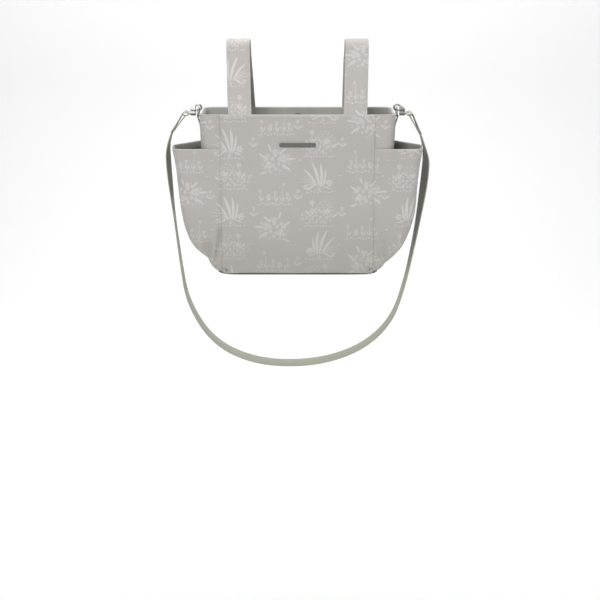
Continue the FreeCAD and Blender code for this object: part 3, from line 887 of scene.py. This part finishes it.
def rim_height(y):
    """Height of the rim at the sides, which sag a little at the middle."""
    inside = np.clip(np.abs(y), 0.0, SAG_R * 0.9)
    return np.minimum(RIM_Z, RIM_Z - RIM_SAG + SAG_R - np.sqrt(SAG_R ** 2 - inside ** 2))


def rim_dip(line):
    """How far the rim lies below its full height at each point of a ring round the bag."""
    return (rim_height(line[:, 1]) - RIM_Z) * (np.abs(line[:, 0]) > SEAM_X)


def side_panels():
    count = 70
    start_x = SEAM_X - 3.0 * MM       # the edge that lies under the middle panels
    for side, sign in SIDES.items():
        grid = np.zeros((count, count, 3))
        share = np.linspace(0.0, 1.0, count)
        for i, z in enumerate(panel_rows(count)):
            line = outline(z, 0.0, count, start_x)
            round_x, round_y = line.T
            height = z + (rim_height(round_y) - RIM_Z) * (1.0 - share[i]) ** 2
            hollow = 1.2 * MM * np.cos(round_y / RIM_HALF_DEPTH * 1.3) * math.exp(-share[i] * 6.0)
            x = round_x - hollow
            beside = np.exp(-((round_x - SEAM_X) / (5.0 * MM)) ** 2)
            below_mouth = np.clip((MOUTH_Z - 2.0 * MM - z) / (8.0 * MM), 0.0, 1.0)
            before_back = np.clip((half_depth(z) - 26.0 * MM - round_y) / (12.0 * MM), 0.0, 1.0)
            drop = np.maximum(TUCK * beside * 0.6, below_mouth * before_back * (TUCK + 1.2 * MM))
            front = np.clip((x - SEAM_X) / (half_width(z) - SEAM_X), 0.0, 1.0)
            y = round_y - np.sign(round_y) * drop * (1.0 - front * 0.5)
            grid[i] = np.stack([sign * (x - drop * front), y, height], axis=1)
        around = path_length(outline(RIM_Z, 0.0, count, SEAM_X))
        flat_x = np.broadcast_to(sign * (SEAM_X + around), (count, count))
        flat = np.stack([flat_x, grid[..., 2]], axis=-1)
        piece = shell("side_panel_cloth_" + side, grid, flat, CLOTH_T, "print", inward=sign)
        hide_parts("side_panel_" + side)


def level_ring(line, z):
    return np.column_stack([line, np.broadcast_to(z, len(line))])


def closed_in(rows, shares, z):
    """The rows of a closed grid, and then rings that shrink towards its middle at height z."""
    floor = rows[-1][:, :2]
    return np.array(rows + [level_ring(floor * share, z) for share in shares])


def base():
    """The base: a shallow tray of plain fabric with a dark piping round its seam."""
    rows = [level_ring(whole_outline(z, -0.4 * MM, 160), z)
            for z in np.linspace(FOOT_Z + 1.5 * MM, BASE_Z, 7)]
    grid = closed_in(rows, (0.96, 0.9, 0.75, 0.5, 0.25, 0.02), BASE_Z)
    piece = shell("base_cloth", grid, grid[..., :2], CLOTH_T, "base", closed=True)
    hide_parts("base_panel")
    line = level_ring(whole_outline(FOOT_Z, PROUD + 0.1 * MM, 160), FOOT_Z)
    closed_tube("base_piping", line, 1.3 * MM, "piping")


def inside_layers():
    """The lining, puckered like a loose bag inside the walls, and the facing round the rim."""
    count = 168
    floor_z = BASE_Z + 8.0 * MM
    heights = np.concatenate([np.linspace(RIM_Z - 2.0 * MM, floor_z + 20.0 * MM, 40),
                              np.linspace(floor_z + 16.0 * MM, floor_z, 6)])
    rows = []
    for i, z in enumerate(heights):
        line = whole_outline(z, -3.4 * MM, count)
        angle = np.arctan2(line[:, 1], line[:, 0])
        puckers = np.abs(waves(angle * 120.0 * MM, np.full(len(line), z), 21, 60.0 * MM))
        line = line * (1.0 - 0.01 * puckers * min(i / 8.0, 1.0))[:, None]
        rows.append(level_ring(line, z + rim_dip(line) * max(1.0 - i / 12.0, 0.0)))
    grid = closed_in(rows, (0.97, 0.85, 0.6, 0.3, 0.02), floor_z - 0.4 * MM)
    around = path_length(grid[0])
    flat = np.stack(np.meshgrid(around, -path_length(grid[:, 0])), axis=-1)
    piece = shell("lining_cloth", grid, flat, 0.7 * MM, "lining", closed=True)
    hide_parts("lining")
    rows = []
    for z in np.linspace(RIM_Z + 0.3 * MM, max(FACING_Z, RIM_Z - 12.0 * MM), 14):
        line = whole_outline(z, -4.4 * MM, count)
        fade = 1.0 - (RIM_Z - z) / (RIM_Z - FACING_Z)
        rows.append(level_ring(line, z + rim_dip(line) * (0.4 + 0.6 * fade)))
    grid = np.array(rows)
    flat = np.stack(np.meshgrid(around, grid[:, 0, 2]), axis=-1)
    piece = shell("rim_facing_band", grid, flat, 0.9 * MM, "facing", closed=True)
    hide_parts("rim_facing")


def inner_pocket():
    """The flat slip pocket: one sheet that leaves the back wall at its sides and foot."""
    (_, low_y, low_z), (high_x, _, high_z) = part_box("inner_pocket")
    count = 60
    share = np.linspace(-1.0, 1.0, count)
    heights = np.linspace(high_z, low_z, 36)
    grid = np.zeros((len(heights), count, 3))
    for i, z in enumerate(heights):
        wall = half_depth(z) - 4.8 * MM
        foot = min((z - low_z) / (14.0 * MM), 1.0)
        stand = (wall - low_y - 1.0 * MM) * math.sqrt(max(foot * (2.0 - foot), 0.0))
        bow = np.clip((1.0 - np.abs(share)) / 0.16, 0.0, 1.0)
        away = stand * np.sin(bow * math.pi / 2.0) * (1.0 - 0.06 * (1.0 - share ** 2))
        grid[i] = np.stack([share * high_x, wall - away, np.full(count, z)], axis=1)
    around = path_length(grid[0])
    flat = np.stack(np.meshgrid(around - around[-1] / 2.0, heights), axis=-1)
    piece = shell("inner_pocket_cloth", grid, flat, 0.8 * MM, "lining", inward=-1.0)
    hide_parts("inner_pocket")


def rim_binding():
    """The turned edge between the outer panels and the facing, all round the mouth."""
    line = whole_outline(RIM_Z, -1.6 * MM, 240)
    closed_tube("rim_turned_edge", level_ring(line, RIM_Z - 0.6 * MM + rim_dip(line)), 1.8 * MM, "edge")


# ---------------------------------------------------------------- side pockets

POCKET_ROWS = {           # height, and how far out the pocket reaches there
    "left": [(-156.0, 212.5), (-175.0, 209.0), (-195.0, 206.0), (-218.0, 204.2), (-240.0, 202.2),
             (-256.0, 200.0), (-270.0, 197.4), (-283.0, 194.8), (-296.0, 190.9), (-308.0, 186.0),
             (-319.0, 179.4), (-328.0, 172.4), (-335.0, 164.6), (-341.0, 158.4), (-348.0, 153.0),
             (-356.0, 147.0), (-364.0, 139.0)],
    "right": [(-156.0, 212.5), (-175.0, 209.4), (-195.0, 206.6), (-218.0, 205.0), (-240.0, 203.2),
              (-256.0, 202.0), (-268.0, 200.6), (-284.0, 196.6), (-300.0, 190.4), (-311.0, 185.0),
              (-324.0, 177.4), (-333.0, 170.0), (-341.5, 162.8), (-348.0, 156.2), (-354.0, 150.6),
              (-359.0, 145.4), (-365.0, 138.0)]}
POCKET_FOOT_Z = -364.0 * MM
POCKET_TURN_Y = -15.0 * MM         # where its side turns in towards the back wall
POCKET_CREASES = {        # start, bend and end of each fold (round, height), width, height
    "left": [((5.0, -284.0), (3.0, -316.0), (14.0, -352.0), 4.4, -6.5),
             ((13.0, -306.0), (14.0, -330.0), (22.0, -350.0), 5.0, 3.2),
             ((27.0, -303.0), (25.0, -322.0), (32.0, -345.0), 4.6, -5.4),
             ((112.0, -318.0), (108.0, -335.0), (100.0, -350.0), 4.0, -1.8)],
    "right": [((6.0, -312.0), (8.0, -334.0), (15.0, -354.0), 3.6, -2.4),
              ((22.0, -306.0), (22.0, -330.0), (26.0, -352.0), 4.2, -2.6),
              ((14.0, -308.0), (15.0, -330.0), (20.0, -352.0), 4.0, 1.2),
              ((112.0, -318.0), (108.0, -335.0), (100.0, -350.0), 4.0, -1.8)]}


def spline_through(points, count):
    """A smooth curve through the points, evenly spaced by their order."""
    points = np.array(points, dtype=float)
    padded = np.concatenate([[2 * points[0] - points[1]], points, [2 * points[-1] - points[-2]]])
    where = np.linspace(0.0, len(points) - 1.0, count)
    index = np.minimum(where.astype(int), len(points) - 2)
    t = (where - index)[:, None]
    a, b, c, d = (padded[index + k] for k in range(4))
    return 0.5 * (2 * b + (c - a) * t + (2 * a - 5 * b + 4 * c - d) * t ** 2
                  + (3 * b - a - 3 * c + d) * t ** 3)


def rounded_line(points, radii):
    """An open line through the points, with an arc of the given radius at each inner corner."""
    points = np.array(points, dtype=float)
    line = [points[0]]
    for i, radius in enumerate(radii, start=1):
        before = unit(points[i - 1] - points[i])
        after = unit(points[i + 1] - points[i])
        half = math.acos(np.clip(np.dot(before, after), -1.0, 1.0)) / 2.0
        cut = radius / math.tan(half)
        centre = points[i] + unit(before + after) * radius / math.sin(half)
        one = points[i] + before * cut - centre
        two = points[i] + after * cut - centre
        sweep = math.acos(np.clip(np.dot(one, two) / (radius * radius), -1.0, 1.0))
        for share in np.linspace(0.0, 1.0, 14):
            line.append(centre + (one * math.sin((1 - share) * sweep) + two * math.sin(share * sweep))
                        / math.sin(sweep))
    line.append(points[-1])
    return np.array(line)


def pocket_section(z, reach, inset, columns):
    """The pocket's outline in plan at height z: from the front seam round to the back wall."""
    front = half_depth(z) + 2.2 * MM - inset
    back = half_depth(z) - 8.0 * MM
    out = reach - inset
    points = [(SEAM_X - 1.5 * MM, -front), (out - 4.0 * MM, -front), (out, POCKET_TURN_Y),
              (half_width(z) + 0.4 * MM - inset, back)]
    return resampled(rounded_line(points, [16.0 * MM - inset, 28.0 * MM - inset]), columns)


def pocket_grid(side, inset, top_z, count):
    """The pocket's outer face, drawn in by inset, and each point's place on the flat cloth."""
    sign = SIDES[side]
    curve = spline_through(POCKET_ROWS[side], count * 4) * MM
    heights = np.linspace(top_z, POCKET_FOOT_Z, count)
    reaches = np.interp(-heights, -curve[:, 0], curve[:, 1])
    grid = np.zeros((count, count, 3))
    for i, (z, reach) in enumerate(zip(heights, reaches)):
        line = pocket_section(z, reach, inset, count)
        radius = corner_radius(z)
        near = np.clip(np.abs(line[:, 1]) - (half_depth(z) - radius), 0.0, radius)
        wall = half_width(z) - radius + np.sqrt(np.maximum(radius ** 2 - near ** 2, 0.0))
        beside = line[:, 1] > -half_depth(z) + 4.0 * MM
        x = np.maximum(line[:, 0], np.where(beside, wall + 0.5 * MM - inset, 0.0))
        grid[i] = np.stack([x, line[:, 1], np.full(count, z)], axis=1)
    around = path_length(grid, 1)
    z = grid[..., 2].copy()
    grid -= grid_normals(grid) * pocket_relief(side, around, z)[..., None]
    grid[..., 0] *= sign
    return grid, np.stack([sign * (around + SEAM_X), z], axis=-1)


def pocket_relief(side, around, z):
    """Folds and swells of the pocket's fabric. Around is the distance from the front seam."""
    tucked = -TUCK * np.exp(-(around / (4.5 * MM)) ** 2)
    round_swell = np.sin(np.clip(around / (85.0 * MM), 0, 1) * math.pi)
    swell = 1.6 * MM * round_swell * np.exp(-((z + 300.0 * MM) / (55.0 * MM)) ** 2)
    uneven = 0.5 * MM * waves(around, z, {"left": 17, "right": 31}[side], 70.0 * MM)
    relief = tucked + swell + uneven * np.clip((MOUTH_Z - z) / (40.0 * MM), 0.0, 1.0)
    for fold in POCKET_CREASES[side]:
        relief += crease(around, z, *fold)
    return relief


def side_pockets():
    """On each side the pocket's cloth, its lining and the hem band, which is the first rows."""
    layers = (("side_pocket_cloth_", "side_pocket_", "print", 0.0, MOUTH_Z, 110, 110, CLOTH_T),
              ("pocket_lining_cloth_", "pocket_lining_", "lining", 2.2 * MM, MOUTH_Z - 0.6 * MM,
               60, 60, 0.6 * MM),
              ("pocket_hem_band_", "pocket_hem_", "lining", 3.1 * MM, MOUTH_Z - 0.3 * MM,
               60, 4, 0.6 * MM))
    for side, sign in SIDES.items():
        for name, node, look, inset, top_z, count, rows, thickness in layers:
            grid, flat = pocket_grid(side, inset, top_z, count)
            piece = shell(name + side, grid[:rows], flat[:rows], thickness, look, inward=sign)
            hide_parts(node + side)


# ---------------------------------------------------------------- handlebar loops

REAR_LEAN = {"left": 4.5 * MM, "right": 0.6 * MM}     # how far the rear straps lean inwards


def tangent_angle(foot, radius):
    """Angle at which a straight line from the foot leaves a circle about the origin."""
    return math.atan2(foot[1], foot[0]) - math.asin(radius / math.hypot(*foot))


def handlebar_loops():
    """Each loop: one strip up from the front, over the bar and down behind it, and a rear strap."""
    middle_r = BAR_R + LOOP_T / 2.0
    foot = (RIM_HALF_DEPTH + PROUD - LOOP_T / 2.0, RIM_Z)
    front_angle = tangent_angle(foot, middle_r)
    rear_foot = (RIM_HALF_DEPTH - 1.2 * MM, RIM_Z)
    rear_r = middle_r - LOOP_T / 2.0 - 2.0 * TAPE_T - TAPE_GAP - REAR_T / 2.0
    rear_angle = tangent_angle(rear_foot, rear_r)
    down = np.array([math.cos(rear_angle), math.sin(rear_angle)])
    over = np.linspace(math.pi / 2.0 - front_angle, rear_angle + math.pi / 2.0, 40)
    arc = np.column_stack([middle_r * np.cos(over), middle_r * np.sin(over)])
    sewn_z = RIM_Z - 7.0 * MM
    below = (-half_depth(sewn_z) - PROUD + LOOP_T / 2.0, sewn_z)
    corner = rounded_line([below, (-foot[0], foot[1]), arc[0]], [9.0 * MM])
    profile = resampled(np.concatenate([corner[:-1], arc, [arc[-1] + TAIL_LENGTH * down]]), 190)
    along = path_length(profile)
    lean = np.interp(along, [0.0, along[-1] * 0.5, along[-1]], [-2.2 * MM, 1.5 * MM, 0.0])
    away = np.array([-down[1], down[0]]) * rear_r
    length = math.sqrt(math.hypot(*rear_foot) ** 2 - rear_r ** 2)
    low = (half_depth(RIM_Z - 9.0 * MM) - REAR_T / 2.0 + 0.6 * MM, RIM_Z - 9.0 * MM)
    rear = rounded_line([away + down * REAR_START, away + down * length, low], [6.0 * MM])
    rear = resampled(rear, 60)
    for side, sign in SIDES.items():
        path = np.column_stack([sign * (LOOP_X + lean), profile])
        piece = ribbon("loop_cloth_" + side, path, ACROSS, LOOP_WIDTH, LOOP_T, "print", body=None,
                       flat_start=sewn_z, flat_middle=sign * LOOP_X, across=20)
        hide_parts("loop_strap_" + side, "loop_tail_" + side)
        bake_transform(piece)
        normals = np.cross(unit(np.gradient(path, axis=0)), ACROSS)
        normals *= -np.sign(normals[20, 1])
        for place, chosen, body in (("front", path[:, 1] < -6.0 * MM, BAG),
                                    ("tail", path[:, 1] > 6.0 * MM, LOOP_BODY[side])):
            face = (path + normals * (LOOP_T / 2.0))[chosen][2:-2]
            lines = [(face + ACROSS * x, normals[chosen][2:-2]) for x in (-15.5 * MM, 15.5 * MM)]
            stitches("loop_stitches_%s_%s" % (place, side), lines, body)
        inwards = REAR_LEAN[side] * np.linspace(0.0, 1.0, len(rear))
        path = np.column_stack([sign * (LOOP_X - inwards), rear])
        piece = ribbon("rear_strap_cloth_" + side, path, ACROSS, LOOP_WIDTH, REAR_T, "print",
                       flat_middle=sign * LOOP_X, across=14)
        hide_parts("rear_strap_" + side)


# ---------------------------------------------------------------- shoulder strap

def strap_centreline():
    """Points along the strap's smooth line, read from a NURBS curve with the route as its controls."""
    curve = bpy.data.curves.new("strap_line", "CURVE")
    curve.dimensions = "3D"
    spline = curve.splines.new("NURBS")
    spline.points.add(len(STRAP_ROUTE) - 1)
    for point, (x, z) in zip(spline.points, STRAP_ROUTE):
        point.co = (x * MM, 0.0, z * MM, 1.0)
    spline.order_u = 3
    spline.use_endpoint_u = True
    spline.resolution_u = 16
    holder = bpy.data.objects.new("strap_line", curve)
    bpy.context.scene.collection.objects.link(holder)
    mesh = bpy.data.meshes.new_from_object(holder)
    line = np.array([vertex.co for vertex in mesh.vertices])
    bpy.data.objects.remove(holder)
    bpy.data.meshes.remove(mesh)
    return line


def smoothed(values, reach):
    """A running mean over the given number of neighbours on each side."""
    padded = np.pad(values, reach, mode="edge")
    return np.convolve(padded, np.ones(2 * reach + 1) / (2.0 * reach + 1.0), mode="valid")


def strap_sides(line):
    """Unit vectors across the strap, which twists a little as it leaves each end."""
    along = path_length(line) / path_length(line)[-1]
    places = [0.0, 0.03, 0.07, 0.11, 0.14, 0.18, 0.24, 0.45, 0.75, 0.82, 0.885, 0.925, 0.962, 1.0]
    degrees = [0.0, 6.0, 6.0, 0.0, -3.0, -2.0, -0.5, 0.0, 0.0, 1.5, 7.0, 14.0, 11.0, 0.0]
    turn = smoothed(np.radians(np.interp(along, places, degrees)), 12)
    turn = turn * np.clip(np.minimum(along, 1.0 - along) * 25.0, 0.0, 1.0)
    flat_side = np.cross(unit(np.gradient(line, axis=0)), DEPTHWAYS)
    return DEPTHWAYS * np.cos(turn)[:, None] + flat_side * np.sin(turn)[:, None]


def strap_painted_shade(line):
    """Painted shade that darkens the strap's inner face beside the bag, from just under its ends down.
    """
    right = np.clip((line[:, 2] + 440.0 * MM) / (130.0 * MM), 0.0, 1.0)
    left = np.clip((line[:, 2] + 275.0 * MM) / (40.0 * MM), 0.0, 1.0)
    painted_shade = np.where(line[:, 0] > 0.0, right, left)
    return painted_shade * np.clip((-146.0 * MM - line[:, 2]) / (14.0 * MM), 0.0, 1.0)


def strap():
    line = resampled(strap_centreline(), 360)
    # The strap's inner face gets painted shade beside the bag.
    piece = ribbon("strap_ribbon", line, strap_sides(line), STRAP_WIDTH, STRAP_T, "webbing",
                   body="strap", painted_shade=strap_painted_shade(line))
    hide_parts("strap_webbing")
    lines = []
    lap = STRAP_T * 0.55
    for side, sign, end in (("left", -1.0, line[0]), ("right", 1.0, line[-1])):
        foot = end[[0, 2]]
        profile, ahead, across = folded(np.array([sign * EYE_X, PIN_Z]), foot,
                                        EYE_BAR_R + 0.3 * MM + STRAP_T / 2.0, lap, 11.0 * MM, 1.0 * MM)
        x, z = (smoothed(column, 3) for column in resampled(profile, 90).T)
        path = np.column_stack([x, np.zeros(len(x)), z])
        end_piece = ribbon("strap_fold_" + side, path, DEPTHWAYS, STRAP_WIDTH, STRAP_T * 0.95,
                           "webbing", body="strap")
        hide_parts("strap_end_" + side)
        for face in (-1.0, 1.0):
            for back in (3.0 * MM, 9.0 * MM):
                middle = foot + ahead * back + across * face * (lap + STRAP_T * 0.5)
                lines.append(row_across(middle, across * face, 16.0 * MM, 12))
    sewn = stitches("strap_end_stitches", lines, "strap")


# ---------------------------------------------------------------- small pieces and stitching

def ring_tabs():
    """Folded webbing tabs that hold the D-rings at the top of the sides."""
    low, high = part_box("ring_tab_right")
    width = high[1] - low[1]
    foot_z = low[2] + 0.3 * MM
    foot = np.array([half_width(foot_z) + 1.4 * MM, foot_z])
    lap = 0.65 * MM
    profile, ahead, across = folded(np.array([RING_X, RING_Z]), foot,
                                    RING_BAR_R + 0.95 * MM, lap, 12.0 * MM, 0.0)
    profile = resampled(profile, 60)
    outward = across if across[0] > 0 else -across
    lines = []
    for side, sign in SIDES.items():
        path = np.column_stack([sign * profile[:, 0], np.zeros(len(profile)), profile[:, 1]])
        piece = ribbon("ring_tab_web_" + side, path, DEPTHWAYS, width, 1.15 * MM, "webbing")
        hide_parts("ring_tab_" + side)
        mirror = np.array([sign, 1.0])
        for back in (2.0 * MM, 9.0 * MM):
            middle = foot + ahead * back + outward * (lap + 0.6 * MM)
            lines.append(row_across(middle * mirror, outward * mirror, width * 0.4, 8))
    stitches("ring_tab_stitches", lines, BAG, pitch=2.6 * MM)


def seam_stitching():
    """Topstitching along the rim and beside the seams of the middle panels."""
    loop_edges = (LOOP_X - LOOP_WIDTH / 2.0, LOOP_X + LOOP_WIDTH / 2.0)
    last_x = SEAM_X - 3.0 * MM
    lines = []
    for surface in (FRONT, BACK):
        for low, high in ((-last_x, -loop_edges[1]), (-loop_edges[0], loop_edges[0]),
                          (loop_edges[1], last_x)):
            x = np.linspace(low, high, 60)
            lines.append(surface_line(surface, x, np.full(60, RIM_Z - 4.0 * MM)))
        for sign in (-1.0, 1.0):
            z = np.linspace(RIM_Z - 3.0 * MM, FOOT_Z + 12.0 * MM, 120)
            lines.append(surface_line(surface, np.full(120, sign * (SEAM_X - 3.2 * MM)), z))
    stitches("panel_stitches", lines, BAG)


def pocket_stitching():
    """Two rows along each pocket's hem."""
    count = 110
    step = (MOUTH_Z - POCKET_FOOT_Z) / (count - 1)
    for side, sign in SIDES.items():
        grid, _ = pocket_grid(side, 0.0, MOUTH_Z, count)
        normals = grid_normals(grid) * -sign
        rows = [int(round(down / step)) for down in (3.0 * MM, 12.5 * MM)]
        lines = [(grid[row, 3:-2], normals[row, 3:-2]) for row in rows]
        stitches("pocket_hem_stitches_" + side, lines, BAG)


def finish_cad_nodes():
    """Better materials on the CAD pieces that are kept."""
    looks = {"d_ring": "nickel", "hook_body": "nickel", "hook_bolt": "nickel", "swivel_eye": "nickel",
             "hook_spring": "spring", "name_plate": "plate", "snap_socket": "nickel",
             "snap_stud": "nickel", "rear_tape": "tape", "tail_tape": "tape", "base_board": "board"}
    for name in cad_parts:
        for start, look in looks.items():
            if name.startswith(start):
                node = bpy.data.objects[name]
                node.data.materials.clear()
                node.data.materials.append(LOOK[look])


# ---------------------------------------------------------------- stage, light and camera

def stage():
    """A white floor that curves up into a wall."""
    floor_z = -1.05
    back_y = 2.6
    bend = 0.8
    turn = np.linspace(0.0, math.pi / 2.0, 20)
    profile = [(-4.0, floor_z), (back_y - bend, floor_z)]
    profile += [(back_y - bend + bend * math.sin(t), floor_z + bend - bend * math.cos(t))
                for t in turn[1:]]
    profile.append((back_y, 4.0))
    points = [(x, y, z) for y, z in profile for x in (-6.0, 6.0)]
    faces = [(2 * i, 2 * i + 1, 2 * i + 3, 2 * i + 2) for i in range(len(profile) - 1)]
    paper = bpy.data.materials.new("stage_paper")
    paper.use_nodes = True
    shader = paper.node_tree.nodes["Principled BSDF"]
    shader.inputs["Base Color"].default_value = (0.93, 0.93, 0.93, 1.0)
    shader.inputs["Roughness"].default_value = 0.9
    mesh = bpy.data.meshes.new("backdrop")
    mesh.from_pydata(points, [], faces)
    mesh.polygons.foreach_set("use_smooth", [True] * len(faces))
    mesh.materials.append(paper)
    backdrop = bpy.data.objects.new("backdrop", mesh)
    bpy.context.scene.collection.objects.link(backdrop)


def area_light(name, place, target, size, power):
    light = bpy.data.lights.new(name, "AREA")
    light.energy = power
    light.size = size
    lamp = bpy.data.objects.new(name, light)
    lamp.location = place
    aim = np.array(target) - np.array(place)
    flat = math.hypot(aim[0], aim[1])
    lamp.rotation_euler = (math.atan2(flat, -aim[2]), 0.0, math.atan2(-aim[0], aim[1]))
    bpy.context.scene.collection.objects.link(lamp)


def light():
    world = bpy.data.worlds.new("studio")
    world.use_nodes = True
    background = world.node_tree.nodes["Background"]
    background.inputs["Color"].default_value = (1.0, 1.0, 1.0, 1.0)
    background.inputs["Strength"].default_value = 0.30
    bpy.context.scene.world = world
    area_light("key", (-0.5, -2.1, 1.0), (0.0, 0.0, -0.22), 0.9, 27.0)
    area_light("fill", (1.8, -1.6, 0.5), (0.0, 0.0, -0.25), 1.2, 6.0)
    area_light("backdrop_wash", (0.0, 0.9, 2.2), (0.0, 2.4, -0.8), 2.5, 75.0)
    bpy.context.scene.view_settings.view_transform = "Standard"


def camera():
    data = bpy.data.cameras.new("camera")
    data.lens = 70.06
    data.sensor_width = 36.0
    eye = bpy.data.objects.new("camera", data)
    eye.location = (0.004, -2.0, 0.1205)
    eye.rotation_euler = (math.radians(74.52), 0.0, 0.0)
    bpy.context.scene.collection.objects.link(eye)
    bpy.context.scene.camera = eye


camera()
strap()
middle_panels()
side_panels()
base()
inside_layers()
inner_pocket()
rim_binding()
side_pockets()
handlebar_loops()
ring_tabs()
seam_stitching()
pocket_stitching()
finish_cad_nodes()
stage()
light()
